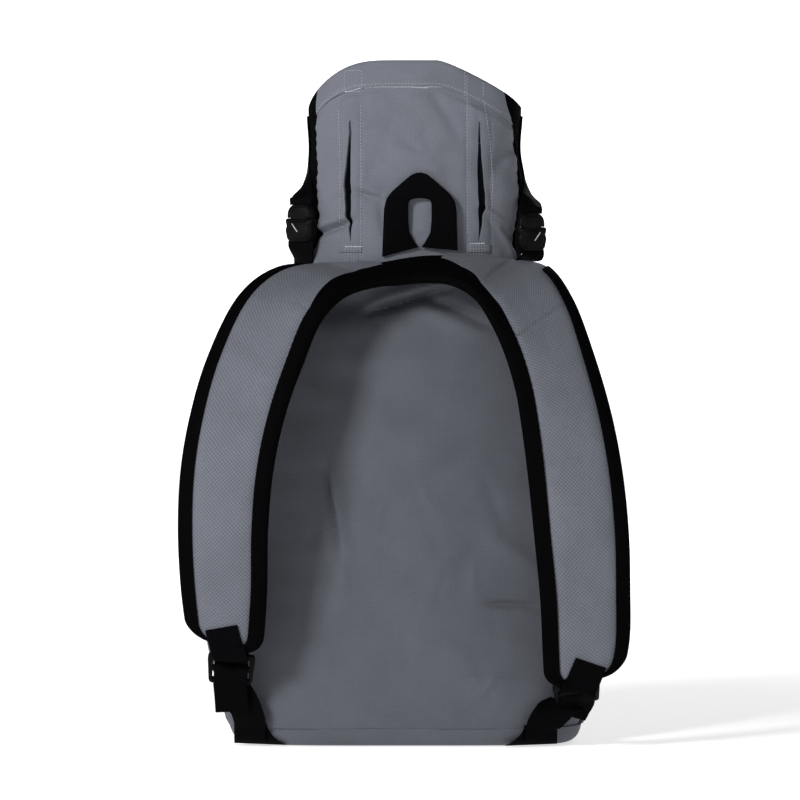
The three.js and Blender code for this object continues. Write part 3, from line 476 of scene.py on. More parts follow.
def wallGrid(fromAngle, toAngle, low, high, cols, rows):
    u = np.linspace(0, 1, cols + 1)[None, :]
    v = np.linspace(0, 1, rows + 1)[:, None]
    z = np.full((rows + 1, cols + 1), float(bag["bodyHeight"]))
    for _ in range(8):  # the seams' angles and the rim's height depend on each other
        angle = mix(fromAngle(z), toAngle(z), u)
        z = mix(low(angle), high(angle), v)
    return angle, z


def seamRoll(grid, depth=0.9, reach=2.2, pucker=0.35, pitch=9, seed=1, foot=1.0):  # edges dip into their seams
    across = measureAlong(grid, 1)
    up = measureAlong(grid, 0)
    sides = np.minimum(across - across[:, :1], across[:, -1:] - across)
    ends = np.minimum(up - up[:1], up[-1:] - up)
    total = 0
    low = np.where(up - up[:1] < up[-1:] - up, foot, 1)  # the lowest seam can be shallower
    for near, run, share in ((sides, up, 1), (ends, across, low)):
        total = total - share * depth * np.exp(-(near / reach) ** 2)
        wave = np.sin(2 * math.pi * run / pitch + 1.7 * ripple(run, near * 0.2, seed, 60))
        total = total + share * pucker * wave * np.exp(-near / 7)
    return total


bodyLook = {
    "cell": 1.75,  # spacing of the cloth's mesh
    "slump": 1.7,  # height of the soft waves
    "backFolds": [
        {"start": (-63.6, 216), "end": (-51, 150), "width": 3.2, "height": -4.6, "lean": -1},
        {"start": (-58, 190), "end": (-46, 128), "width": 5, "height": 1.6, "lean": -1},
        {"start": (66, 112), "end": (103, 110), "width": 2.6, "height": -3.2, "lean": 1},
        {"start": (72, 160), "end": (108, 134), "width": 8, "height": 2.6},
        {"start": (36, 60), "end": (106, 57), "width": 3.5, "height": -1.2},
        {"start": (-26, 338), "end": (30, 354), "width": 3.4, "height": -12, "lean": -1},
        {"start": (-76, 344), "end": (-22, 348), "width": 12, "height": -13, "lean": -1},
        {"start": (14, 350), "end": (66, 329), "width": 4.5, "height": -6.5, "lean": 1},
        {"start": (-30, 300), "end": (46, 306), "width": 12, "height": 2.6},
        {"start": (-92, 60), "end": (-40, 44), "width": 7, "height": -1.6},
        {"start": (-20, 230), "end": (30, 120), "width": 22, "height": 2.0},
        {"start": (-10, 190), "end": (60, 236), "width": 9, "height": -1.3},
    ],
}


def makeBody():
    h = bag["bodyHeight"]
    low = lambda angle: bag["panHeight"] + bag["seamGap"] / 2 + 0 * angle
    high = lambda angle: h - bag["seamGap"] / 2 + 0 * angle
    rows = int(h / bodyLook["cell"])
    angle, z = wallGrid(leftSeam, rightSeam, low, high, 180, rows)
    flat = skin(angle, z)
    x = flat[..., 0]
    relief = seamRoll(flat, seed=3, foot=0.2)
    folds = bodyLook["backFolds"] + scatterFolds(17, 46, (-105, 30, 105, 345), (12, 42), (3.0, 6.5), 1.0)
    relief = relief + foldRelief(x, z, folds)
    relief = relief + bodyLook["slump"] * ripple(x, z, 11, 130, 6) + 0.5 * ripple(x, z, 12, 36)
    outer = skin(angle, z, relief)
    inner = skin(angle, z, relief * 0.8 - bag["backWall"])
    # The back panel gets the darker copy of the cloth: painted shade.
    clothShell("backPanel", outer, inner, shadedBackCloth, "cloth", ["back_panel"])

    start = lambda level: rightSeam(level) - 2 * math.pi + gapTurn(level)
    end = lambda level: leftSeam(level) - gapTurn(level)
    angle, z = wallGrid(start, end, low, high, 210, rows // 2)
    flat = skin(angle, z)
    around = measureAlong(flat, 1)
    calm = 1 - np.exp(-((h - z) / 14) ** 2)  # the waves die out where the collar is sewn on
    waves = 1.5 * ripple(around, z, 21, 150, 6) + 0.5 * ripple(around, z, 22, 45)
    relief = seamRoll(flat, seed=5, foot=0.3) + calm * waves
    outer = skin(angle, z, relief)
    inner = skin(angle, z, relief * 0.8 - bag["sideWall"])
    clothShell("frontWrap", outer, inner, cloth, "cloth", ["front_wrap"])


def makeBase():
    look = {"cols": 220, "wall": 2.6, "crown": 0.35}
    r, rise = bag["baseRound"], bag["panHeight"] - bag["seamGap"] / 2
    turn = np.linspace(0, 2 * math.pi, look["cols"] + 1)
    outerRings = []
    for share in np.linspace(0, 1, 8) ** 2:  # the underside's round edge
        height = share * r
        outerRings.append((height, -float(baseInset(height))))
    for height in np.linspace(r, rise, 6)[1:]:
        outerRings.append((height, -0.2 * math.exp(-((rise - height) / 1.6) ** 2)))
    innerRings = [(rise, -look["wall"] - 0.3), (rise - 3, -look["wall"]), (r, -look["wall"]),
                  (r * 0.55, -look["wall"] - 1.6), (look["wall"] + 0.6, -r - look["wall"] + 2),
                  (look["wall"], -r - look["wall"])]
    walls = [skin(turn, np.full_like(turn, height), off) for height, off in outerRings + innerRings]
    under = [mix(walls[0].mean(0), walls[0], share) for share in (0.1, 0.3, 0.55, 0.8, 0.97)]
    floor = [mix(walls[-1].mean(0), walls[-1], share) for share in (0.8, 0.55, 0.3, 0.1)]
    grid = np.array(under + walls + floor)
    count, cols = grid.shape[:2]
    flatUv = np.stack([measureAlong(grid, 1), measureAlong(grid, 0)], -1).reshape(-1, 2)
    faces = gridFaces(count, cols).tolist()
    index = np.arange(count * cols).reshape(count, cols)
    faces.append(index[0, :-1].tolist())
    faces.append(index[-1, :-1][::-1].tolist())
    piece = buildMesh("basePan", grid.reshape(-1, 3), faces, flatUv, 50)
    # The base pan gets the darker copy of the cloth: painted shade.
    finishPiece(piece, shadedBackCloth, "cloth", ["base_panel"])


makeBody()
makeBase()
print("body made")


# The collar

collarLook = {
    "cell": 1.6,
    "slits": [
        {"name": "left", "middle": -0.505, "bow": -0.85, "lift": 0.105},
        {"name": "right", "middle": 0.69, "bow": 1, "lift": 0.105},
    ],
    "slitWidth": 4.6,
    "slitHeight": 106,
    "slitTop": 486,  # above this each slit is pulled shut
    "channels": [(-50.7, -34.3), (48.7, 67.5)],  # the sewn lines on either side of each slit
    "folds": [
        {"start": (-73, 397), "end": (-42, 408), "width": 2.6, "height": -4.8, "lean": -1},
        {"start": (-38, 431), "end": (-20, 425), "width": 2.8, "height": -2.8, "lean": -1},
        {"start": (-20, 425), "end": (-16, 400), "width": 3.5, "height": -1.8, "lean": -1},
        {"start": (59, 421), "end": (78, 406), "width": 2.2, "height": 2.4},
        {"start": (74, 402), "end": (88, 377), "width": 2.6, "height": 2.8, "lean": -1},
        {"start": (20, 512), "end": (39, 482), "width": 5, "height": -2.0, "lean": 1},
        {"start": (37, 508), "end": (61, 500), "width": 2.6, "height": -1.8, "lean": 1},
        {"start": (-72, 450), "end": (-66, 490), "width": 6, "height": 1.8},
        {"start": (-20, 503), "end": (8, 508), "width": 3, "height": -0.9, "lean": 1},
        {"start": (66, 440), "end": (84, 470), "width": 5, "height": -1.7, "lean": 1},
        {"start": (-10, 470), "end": (16, 430), "width": 12, "height": 1.3},
    ],
}


def slitEdge(slit, side):  # the angle of one edge of a slit; both edges meet above and below it
    low = bag["bodyHeight"] + slit["lift"] * bag["collarHeight"]
    high = low + collarLook["slitHeight"]
    width = collarLook["slitWidth"]

    def read(z):
        t = np.clip((z - low) / (high - low), 0, 1)
        swell = 2 * t * (1 - t) * (1 + 0.35 * np.sin(2 * math.pi * t))  # fuller in its lower half
        belly = swell * slit["bow"] * width * 2
        straight = -swell * slit["bow"] * width * 0.3
        isOpen = (swell > 0.03) & (z < collarLook["slitTop"])
        belly, straight = np.where(isOpen, belly, 0), np.where(isOpen, straight, 0)
        offset = np.where(side * slit["bow"] > 0, belly, straight)
        return backAngle(slit["middle"] * bag["mouthWidth"] / 2 + offset, z)

    return read


def collarRelief(angle, z):
    flat = skin(angle, z)
    x = flat[..., 0]
    fromSide = np.minimum(angle - leftSeam(z), rightSeam(z) - angle) * 80
    fromTop = rimZ(angle) - bag["hemHeight"] - z
    creases = scatterFolds(29, 44, (-78, 382, 88, 508), (8, 30), (2.2, 4.6), 0.95)
    relief = foldRelief(x, z, collarLook["folds"] + creases)
    relief = relief + 1.1 * ripple(x, z, 31, 70, 6) + 0.42 * ripple(x, z, 32, 24)
    for near, run, seed in ((fromSide, z, 1), (z - bag["bodyHeight"], x, 2), (fromTop, x, 3)):
        wave = np.sin(2 * math.pi * run / 8 + 1.5 * ripple(run, 0 * run, seed, 50))
        relief = relief - 0.7 * np.exp(-(near / 2.2) ** 2) + 0.3 * wave * np.exp(-np.abs(near) / 6)
    for slit, lines in zip(collarLook["slits"], collarLook["channels"]):
        middle = slit["middle"] * bag["mouthWidth"] / 2
        low = bag["bodyHeight"] + slit["lift"] * bag["collarHeight"]
        inside = 1 / (1 + np.exp(-(z - low) / 2)) / (1 + np.exp((z - low - collarLook["slitHeight"]) / 2))
        relief = relief - 0.7 * inside * np.exp(-((x - middle) / 3.2) ** 2)
        relief = relief + 0.8 * np.exp(-((x - sum(lines) / 2) / 7.5) ** 2)
        for line in lines:
            relief = relief - 0.65 * np.exp(-((x - line) / 1.3) ** 2)
    return mix(-0.6, relief, np.clip(fromTop / 6, 0, 1) ** 1.5)  # calm where it goes under the hem


def makeCollarBack():
    left, right = collarLook["slits"]
    strips = [
        {"from": leftSeam, "to": slitEdge(left, -1), "cols": 26},
        {"from": slitEdge(left, 1), "to": slitEdge(right, -1), "cols": 74},
        {"from": slitEdge(right, 1), "to": rightSeam, "cols": 26},
    ]
    low = lambda angle: bag["bodyHeight"] + bag["seamGap"] / 2 + 0 * angle
    high = lambda angle: rimZ(angle) - bag["hemHeight"] - bag["seamGap"]
    rows = int(bag["collarHeight"] / collarLook["cell"])
    points, faces, uvs, edges = [], [], [], []
    start = 0
    for strip in strips:
        angle, z = wallGrid(strip["from"], strip["to"], low, high, strip["cols"], rows)
        relief = collarRelief(angle, z)
        outer, inner = skin(angle, z, relief), skin(angle, z, relief * 0.9 - bag["collarWall"])
        count = outer.shape[0] * outer.shape[1]
        points += [outer.reshape(-1, 3), inner.reshape(-1, 3)]
        uv = np.stack([outer[..., 0], outer[..., 2]], -1).reshape(-1, 2)
        uvs += [uv, uv]
        faces.append(gridFaces(*outer.shape[:2], start))
        faces.append(gridFaces(*outer.shape[:2], start + count, True))
        faces.append(rimFaces(*outer.shape[:2], count, ("low", "high")) + start)
        index = np.arange(count).reshape(outer.shape[:2]) + start
        edges.append((index, count, outer))
        start += 2 * count

    def sideRim(index, count, column, openRows):
        line = index[:, column]
        quads = np.stack([line[:-1], line[1:], line[1:] + count, line[:-1] + count], -1)
        return quads[openRows]

    for k, (index, count, outer) in enumerate(edges):
        for column in (0, -1):
            other = k + (1 if column == -1 else -1)
            openRows = np.ones(rows, bool)
            if 0 <= other < len(edges):
                mate = edges[other][2][:, 0 if column == -1 else -1]
                apart = np.linalg.norm(outer[:, column] - mate, axis=-1) > 0.01
                openRows = apart[:-1] | apart[1:]
            faces.append(sideRim(index, count, column, openRows))
    piece = buildMesh("collarBack", np.concatenate(points), np.concatenate(faces), np.concatenate(uvs))
    return finishPiece(piece, cloth, "cloth", ["collar_back"])


def makeHem(name, fromAngle, toAngle, cols, node, seed):
    hem, proud = bag["hemHeight"], bag["hemProud"]
    low = lambda angle: rimZ(angle) - hem
    angle, z = wallGrid(fromAngle, toAngle, low, rimZ, cols, 20)
    flat = skin(angle, z)
    toTop, toLow = rimZ(angle) - z, z - low(angle)
    wave = 0.45 * ripple(flat[..., 0], z * 1.5, seed, 40) * np.clip(toTop / 6, 0.2, 1)
    roll = -0.9 * np.exp(-(toTop / 1.3) ** 2) - 0.5 * np.exp(-(toLow / 1.0) ** 2)
    sewn = -0.45 * np.exp(-((toLow - 2.6) / 1.0) ** 2)
    outer = skin(angle, z, proud + wave + roll + sewn)
    inner = skin(angle, z, proud + wave - roll - bag["collarWall"] - 2 * proud)
    return clothShell(name, outer, inner, cloth, "cloth", [node], 60)


def makeGusset(name, fromAngle, toAngle, node, seed):
    low = lambda angle: bag["bodyHeight"] + bag["seamGap"] / 2 + 0 * angle
    angle, z = wallGrid(fromAngle, toAngle, low, rimZ, 22, 90)
    relief = 0.12 * ripple(angle * 60, z, seed, 30)
    outer, inner = skin(angle, z, relief), skin(angle, z, relief - bag["collarWall"])
    return clothShell(name, outer, inner, knitMesh, "mesh", [node])


def makePatch(slit):
    look = {"width": 18, "height": 6.5, "thickness": 1.1, "gap": 0.3}
    x = slit["middle"] * bag["mouthWidth"] / 2
    high = bag["bodyHeight"] + slit["lift"] * bag["collarHeight"] - look["gap"]
    edge = lambda side: lambda z: backAngle(x + side * look["width"] / 2, z)
    angle, z = wallGrid(edge(-1), edge(1), lambda a: high - look["height"] + 0 * a,
                        lambda a: high + 0 * a, 22, 10)
    flat = skin(angle, z)
    sides = np.minimum(np.abs(flat[..., 0] - x + look["width"] / 2), np.abs(x + look["width"] / 2 - flat[..., 0]))
    ends = np.minimum(z - z[:1], z[-1:] - z)
    roll = -0.5 * np.exp(-(np.minimum(sides, ends) / 0.8) ** 2)
    ground = collarRelief(angle, z)
    outer = skin(angle, z, ground + look["gap"] + look["thickness"] + roll)
    inner = skin(angle, z, ground + look["gap"])
    name = "slitPatch" + slit["name"].title()
    return clothShell(name, outer, inner, cloth, "cloth", ["slit_patch_" + slit["name"]], 60)


def makeCollar():
    pieces = {"collar": makeCollarBack()}
    full = 2 * math.pi
    seam = math.radians(bag["sideSeam"])
    pieces["hem"] = makeHem("hemBack", leftSeam, rightSeam, 110, "hem_back", 41)
    frontStart = lambda z: seam + gapTurn(z)
    frontEnd = lambda z: full - leftSeam(z) - gapTurn(z)
    makeHem("hemFront", frontStart, frontEnd, 90, "hem_front", 42)
    makeGusset("gussetLeft", lambda z: full - leftSeam(z), lambda z: leftSeam(z) - gapTurn(z),
               "side_gusset_left", 43)
    makeGusset("gussetRight", lambda z: rightSeam(z) - full + gapTurn(z), lambda z: seam + 0 * z,
               "side_gusset_right", 44)
    low = lambda angle: bag["bodyHeight"] + bag["seamGap"] / 2 + 0 * angle
    high = lambda angle: rimZ(angle) - bag["hemHeight"] - bag["seamGap"]
    angle, z = wallGrid(frontStart, frontEnd, low, high, 80, 60)
    flat = skin(angle, z)
    calm = 1 - np.exp(-((z - bag["bodyHeight"]) / 14) ** 2)
    waves = 0.8 * ripple(flat[..., 0], z, 46, 60) + 0.3 * ripple(flat[..., 0], z, 47, 25)
    relief = seamRoll(flat, 0.7, seed=45) + calm * waves
    clothShell("collarFront", skin(angle, z, relief), skin(angle, z, relief * 0.8 - bag["collarWall"]),
               cloth, "cloth", ["collar_front"])
    pieces["patches"] = [makePatch(slit) for slit in collarLook["slits"]]
    return pieces


collarPieces = makeCollar()
print("collar made")


# The harness: two padded straps and the yoke between them

harness = {
    "width": 348,
    "standOff": 65,
    "top": 6.4,
    "bottom": 3.2,
    "puff": 3.1,  # how far the padding swells past its sewn edge
    "bindingWidth": 12,
    "bindingWall": 1,
    "bindingGap": 0.4,
    "seamTuck": 1.2,
    "yokeSeat": 1.2,
    "endRound": 15,
    # row, and how far the yoke's black cover reaches from the inner edge
    "cover": [(6, 12), (7, 19), (8, 26), (9, 30), (10.4, 30), (11, 21), (12, 15.5), (13, 14.5), (14, 12)],
    "leftBindingEnd": 7.5,
    "rightBindingEnd": 13,
    "folds": [
        {"start": (-150, 330), "end": (-105, 300), "width": 6, "height": -0.7},
        {"start": (-140, 200), "end": (-115, 214), "width": 5, "height": -0.6},
        {"start": (128, 305), "end": (150, 330), "width": 5, "height": -0.7},
        {"start": (118, 150), "end": (160, 160), "width": 6, "height": -0.6},
    ],
}

# outer edge's out, up and off, then the inner edge's; a row with no off lies on the back's top seam
harnessRows = [
    (-0.967, 0.246, 0.4, -0.628, 0.196, 0.46),
    (-0.99, 0.34, 0.58, -0.607, 0.33, 0.72),
    (-1.0, 0.46, 0.74, -0.601, 0.46, 0.92),
    (-0.988, 0.58, 0.76, -0.578, 0.58, 1.0),
    (-0.948, 0.69, 0.66, -0.529, 0.69, 0.96),
    (-0.876, 0.805, 0.42, -0.448, 0.8, 0.84),
    (-0.74, 0.932, -0.02, -0.36, 0.895, 0.62),
    (-0.585, 0.986, -0.5, -0.255, 0.942, 0.4),
    (-0.4, 0.994, None, -0.13, 0.962, 0.25),
    (-0.16, 1.004, None, -0.02, 0.966, 0.18),
    (0.09, 1.022, None, 0.08, 0.97, 0.17),
    (0.33, 1.018, None, 0.2, 0.966, 0.24),
    (0.49, 1.006, None, 0.295, 0.944, 0.4),
    (0.645, 0.992, -0.46, 0.37, 0.895, 0.62),
    (0.745, 0.93, -0.02, 0.432, 0.835, 0.78),
    (0.832, 0.824, 0.36, 0.484, 0.757, 0.9),
    (0.913, 0.695, 0.64, 0.514, 0.675, 0.97),
    (0.962, 0.575, 0.74, 0.543, 0.57, 1.0),
    (0.99, 0.45, 0.73, 0.57, 0.45, 0.92),
    (0.998, 0.335, 0.6, 0.598, 0.32, 0.74),
    (0.998, 0.235, 0.44, 0.612, 0.2, 0.52),
    (0.975, 0.165, 0.32, 0.62, 0.128, 0.4),
]
lastRow = len(harnessRows) - 1


def smoothCurve(points):  # a centripetal curve through points, read by row number
    points = [np.array(p, float) for p in points]
    ends = [2 * points[0] - points[1], *points, 2 * points[-1] - points[-2]]

    def read(row):
        k = int(min(max(math.floor(row), 0), len(points) - 2))
        w = row - k
        p0, p1, p2, p3 = ends[k:k + 4]
        d0, d1, d2 = (max(1e-4, float(np.linalg.norm(b - a))) ** 0.5 for a, b in ((p0, p1), (p1, p2), (p2, p3)))
        m1 = ((p1 - p0) / d0 - (p2 - p0) / (d0 + d1) + (p2 - p1) / d1) * d1
        m2 = ((p2 - p1) / d1 - (p3 - p1) / (d1 + d2) + (p3 - p2) / d2) * d1
        return p1 + m1 * w + (-3 * p1 + 3 * p2 - 2 * m1 - m2) * w ** 2 + (2 * p1 - 2 * p2 + m1 + m2) * w ** 3

    return read


def harnessEdge(first):
    points = []
    for row in harnessRows:
        out, up, off = row[first:first + 3]
        x, z = out * harness["width"] / 2, up * bag["bodyHeight"]
        if off is None:
            y = float(backY(x, z, -harness["seamTuck"]))
        else:
            y = -bag["bodyDepth"] / 2 - off * harness["standOff"]
        points.append((x, y, z))
    return smoothCurve(points)


outerEdge, innerEdge = harnessEdge(0), harnessEdge(3)


def unit(v):
    return v / np.linalg.norm(v)


def harnessFrame(row):
    middleAt = lambda r: (outerEdge(r) + innerEdge(r)) / 2
    step = 0.002 * lastRow
    along = unit(middleAt(min(lastRow, row + step)) - middleAt(max(0, row - step)))
    outer, inner, middle = outerEdge(row), innerEdge(row), middleAt(row)
    across = unit(inner - outer)
    normal = unit(np.cross(across, along))
    end = 0 if row < lastRow / 2 else lastRow
    reach = harness["endRound"]
    toEnd = float(np.linalg.norm(middle - middleAt(end)))
    pull = reach - math.sqrt(reach ** 2 - (reach - min(reach, toEnd)) ** 2)
    outer, inner = outer + across * pull, inner - across * pull
    into = []
    for height in (harness["top"] / 2, 0, -harness["bottom"] / 2):
        p = outer + across * harness["bindingWall"] + normal * height
        into.append(float(p[1] - backY(p[0], p[2], harness["yokeSeat"])))
    outer = outer - np.array([0, max(0, *into), 0])
    return {"outer": outer, "inner": inner, "middle": middle, "across": across, "along": along,
            "normal": normal, "toEnd": toEnd, "row": row}


def harnessSteps(start, end, perRow=14):
    steps = list(np.linspace(start, end, int((end - start) * perRow) + 1))
    if start == 0:
        steps += [0.01, 0.03, 0.05]
    if end == lastRow:
        steps += [lastRow - 0.01, lastRow - 0.03, lastRow - 0.05]
    return [harnessFrame(row) for row in sorted(steps)]


def ringPiece(name, rings, material, slot, nodes=(), sharp=40):  # closed rings joined along a line
    rings = np.asarray(rings, float)
    rings = np.concatenate([rings, rings[:, :1]], 1)
    count, around = rings.shape[:2]
    faces = gridFaces(count, around).tolist()
    index = np.arange(count * around).reshape(count, around)
    faces.append(index[0, :-1].tolist())
    faces.append(index[-1, :-1][::-1].tolist())
    steps = np.linalg.norm(np.diff(rings.mean(1), axis=0), axis=-1)
    run = np.concatenate([[0], np.cumsum(steps)])
    uv = np.stack([measureAlong(rings, 1), np.repeat(run[:, None], around, 1)], -1)
    piece = buildMesh(name, rings.reshape(-1, 3), faces, uv.reshape(-1, 2), sharp)
    return finishPiece(piece, material, slot, nodes)


def padHeight(d):  # the face's height over the middle plane, by the distance from the nearer edge
    width, edge = harness["bindingWidth"], harness["bindingWall"] + harness["bindingGap"]
    low, bound = harness["top"] * 0.4, harness["top"] * 0.7
    sewn = mix(low, bound, np.clip((d - edge) / (width - edge), 0, 1))
    return np.where(d < width, sewn, bound + harness["puff"] * (1 - np.exp(-(d - width) / 4.5)))


def padRings(frames, face, part="all"):  # grey is the part from the outer edge, black the rest
    rings = []
    edge = harness["bindingWall"] + harness["bindingGap"]
    coverRows, coverReach = zip(*harness["cover"])
    for f in frames:
        width = float(np.linalg.norm(f["inner"] - f["outer"]))
        inward = min(harness["bindingWidth"], width * 0.3)
        sewn = np.linspace(edge, inward, 5)
        middle = np.linspace(inward, width - inward, 26)[1:-1]
        d = np.concatenate([sewn, middle, width - sewn[::-1]])
        if part == "black" or (part == "grey" and coverRows[0] < f["row"] < coverRows[-1]):
            cut = width - float(np.interp(f["row"], coverRows, coverReach))
            cut = min(width - edge - 0.6, max(edge + 0.6, cut))
            reach = (edge, cut - 0.05) if part == "grey" else (cut + 0.05, width - edge)
            d = mix(*reach, (d - edge) / (width - 2 * edge))
        near = np.minimum(d, width - d)
        blunt = math.sqrt(max(0.12, 1 - (1 - min(1, f["toEnd"] / 5)) ** 2))
        base = f["outer"] + np.outer(d / width, f["inner"] - f["outer"])
        if face:
            high = padHeight(near) * blunt
            x, z = base[:, 0], base[:, 2]
            soft = np.clip((near - inward) / 6, 0, 1)
            high = high + soft * (foldRelief(x, z, harness["folds"]) + 0.4 * ripple(x, z, 51, 60)
                                  + 0.14 * ripple(x, z, 52, 14))
            low = np.full_like(high, 0.15)
        else:
            high = np.full_like(near, -0.15)
            swell = 0.5 * np.clip((near - inward) / 8, 0, 1)
            low = -(mix(1.3, 2.3, np.clip((near - edge) / (inward - edge), 0, 1)) + 0.9 * swell) * blunt
        upper = base + np.outer(high, f["normal"])
        lower = base + np.outer(low, f["normal"])
        rings.append(np.concatenate([upper, lower[::-1]]))
    return rings


def makeHarness():
    coverRows = [row for row, _ in harness["cover"]]
    yokeStart, leftEnd, rightStart, yokeEnd = coverRows[0], coverRows[3], coverRows[4], coverRows[-1]
    made = {}
    for name, start, end, material, slot, part in (
        ("strapPadLeft", 0, leftEnd, padCloth, "padding", "grey"),
        ("yokeCover", yokeStart, yokeEnd, knitMesh, "mesh", "black"),
        ("strapPadRight", rightStart, lastRow, padCloth, "padding", "grey"),
    ):
        rings = padRings(harnessSteps(start, end), True, part)
        made[name] = ringPiece(name, rings, material, slot, ["harness_face"], 60)
    made["lining"] = ringPiece("harnessLining", padRings(harnessSteps(0, lastRow, 8), False), knitMesh,
                               "mesh", ["harness_mesh"], 60)
    outside = [(12, 6.0), (11.6, 6.15), (9, 5.85), (6, 5.35), (3, 4.75), (1.2, 3.9), (0.35, 2.6), (0, 1.1),
               (0, -0.6), (0.5, -1.9), (1.6, -2.75), (4, -3.15), (8, -3.5), (12, -3.75)]
    inside = [(12, 5.0), (9, 4.6), (6, 4.15), (3, 3.6), (1.8, 3.0), (1.1, 2.0), (1, 0.9), (1, -0.4),
              (1.3, -1.3), (2.2, -1.85), (4, -2.15), (8, -2.5), (12, -2.7)]
    profile = np.array(outside + inside[::-1])
    for name, start, end, edge, turn, node in (
        ("bindingInner", 0, lastRow, "inner", -1, "binding_inner"),
        ("bindingOuterLeft", 0, harness["leftBindingEnd"], "outer", 1, "binding_outer_left"),
        ("bindingOuterRight", harness["rightBindingEnd"], lastRow, "outer", 1, "binding_outer_right"),
    ):
        rings, run, last = [], 0.0, None
        for f in harnessSteps(start, end, 20):
            run += 0 if last is None else float(np.linalg.norm(f[edge] - last))
            last = f[edge]
            free = profile[:, 0] / 12
            gather = 0.22 * np.sin(2 * math.pi * run / 5.5) * free ** 3 + 0.2 * math.sin(run / 17) * free
            heights = profile[:, 1] + np.where(profile[:, 1] > 0, gather, -gather)
            ring = f[edge] + np.outer(turn * profile[:, 0], f["across"]) + np.outer(heights, f["normal"])
            rings.append(ring)
        made[name] = ringPiece(name, rings, tape, "binding", [node], 50)
    return made


harnessPieces = makeHarness()
print("harness made")


# Webbing and hardware

webbing = {"width": 26, "thickness": 1.6, "sideWidth": 20, "tabOverlap": 17}
lock = {"thickness": 4, "bar": 4, "window": 7, "hang": 11, "bevel": 0.55}
lock["firstBar"] = -(lock["bar"] / 2 + lock["hang"])
lock["gripBar"] = lock["firstBar"] - lock["bar"] - lock["window"]
lock["lowBar"] = lock["gripBar"] - lock["bar"] - lock["window"]
clearance = 0.3
threadRadius = lock["bar"] / 2 * math.sqrt(2) + clearance + webbing["thickness"] / 2

strapEnds = [
    {"side": "left", "row": 0, "lean": 28, "turn": 4, "slide": 6, "tabSlide": -1, "anchorOut": -0.792,
     "tail": 24, "tailSlide": 3},
    {"side": "right", "row": lastRow, "lean": 54, "turn": -7, "slide": -7, "tabSlide": 3,
     "anchorOut": 0.7, "tail": 12, "tailSlide": -7},
]


def webbingPiece(name, stations, width, nodes, thickness=webbing["thickness"], perStep=7):
    places = smoothCurve([s[0] for s in stations])
    rows = np.linspace(0, len(stations) - 1, (len(stations) - 1) * perStep + 1)
    half, thick = width / 2, thickness / 2
    round8 = [(-half, 0.25 * thick), (-half + 0.25, 0.85 * thick), (-half + 0.7, thick)]
    top = [(x, thick * 1.0) for x in np.linspace(-half + 0.7, half - 0.7, 9)[1:-1]]
    upper = round8 + top + [(-x, h) for x, h in round8[::-1]]
    profile = upper + [(x, -h) for x, h in upper[::-1]]
    rings = []
    for row in rows:
        k = int(min(math.floor(row), len(stations) - 2))
        point = places(row)
        level = stations[k][2] if len(stations[k]) > 2 else False
        across = unit(mix(stations[k][1], stations[k + 1][1], row - k))
        along = unit(places(min(rows[-1], row + 0.05)) - places(max(0, row - 0.05)))
        side = across if level else unit(across - along * float(along @ across))
        normal = unit(np.cross(side, along))
        rings.append([point + side * x + normal * h for x, h in profile])
    return ringPiece(name, rings, belt, "webbing", nodes, 60)


def onFrame(f, up, off, aside=0.0):
    point = f["origin"] + f["up"] * up + f["normal"] * off + f["across"] * aside
    return point, f["across"]


def roundBar(f, up, radius, start, end, count=7):
    stations = []
    for i in range(count + 1):
        angle = math.radians(mix(start, end, i / count))
        stations.append(onFrame(f, up + radius * math.sin(angle), radius * math.cos(angle)))
    return stations


def hardwareCopy(name, node, bevel, slot="plastic"):  # a moulded part: its solid with softened edges
    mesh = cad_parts[node].data.copy()
    mesh.name = name
    work = bmesh.new()
    work.from_mesh(mesh)
    bmesh.ops.remove_doubles(work, verts=work.verts, dist=2e-5)
    bmesh.ops.dissolve_limit(work, angle_limit=math.radians(4), verts=work.verts, edges=work.edges)
    edges = [e for e in work.edges if len(e.link_faces) == 2 and e.calc_face_angle(0) > math.radians(35)]
    bmesh.ops.bevel(work, geom=edges, offset=bevel / 1000, segments=3, profile=0.6, affect="EDGES",
                    clamp_overlap=True)
    bmesh.ops.recalc_face_normals(work, faces=work.faces)
    work.to_mesh(mesh)
    work.free()
    for face in mesh.polygons:
        face.use_smooth = True
    mesh.set_sharp_from_angle(angle=math.radians(32))
    piece = bpy.data.objects.new(name, mesh)
    bpy.context.scene.collection.objects.link(piece)
    return finishPiece(piece, plastic, slot, [node])


def cornerPlane(side, x, z, out):
    angle = math.pi + math.radians(48) if side == "left" else 2 * math.pi - math.radians(48)
    off = out - float(baseInset(z))
    across = unit(skin(angle + 0.01, z, off) - skin(angle - 0.01, z, off))
    point = skin(angle, z, off)
    return point + across * (x - point[0]) / across[0], across


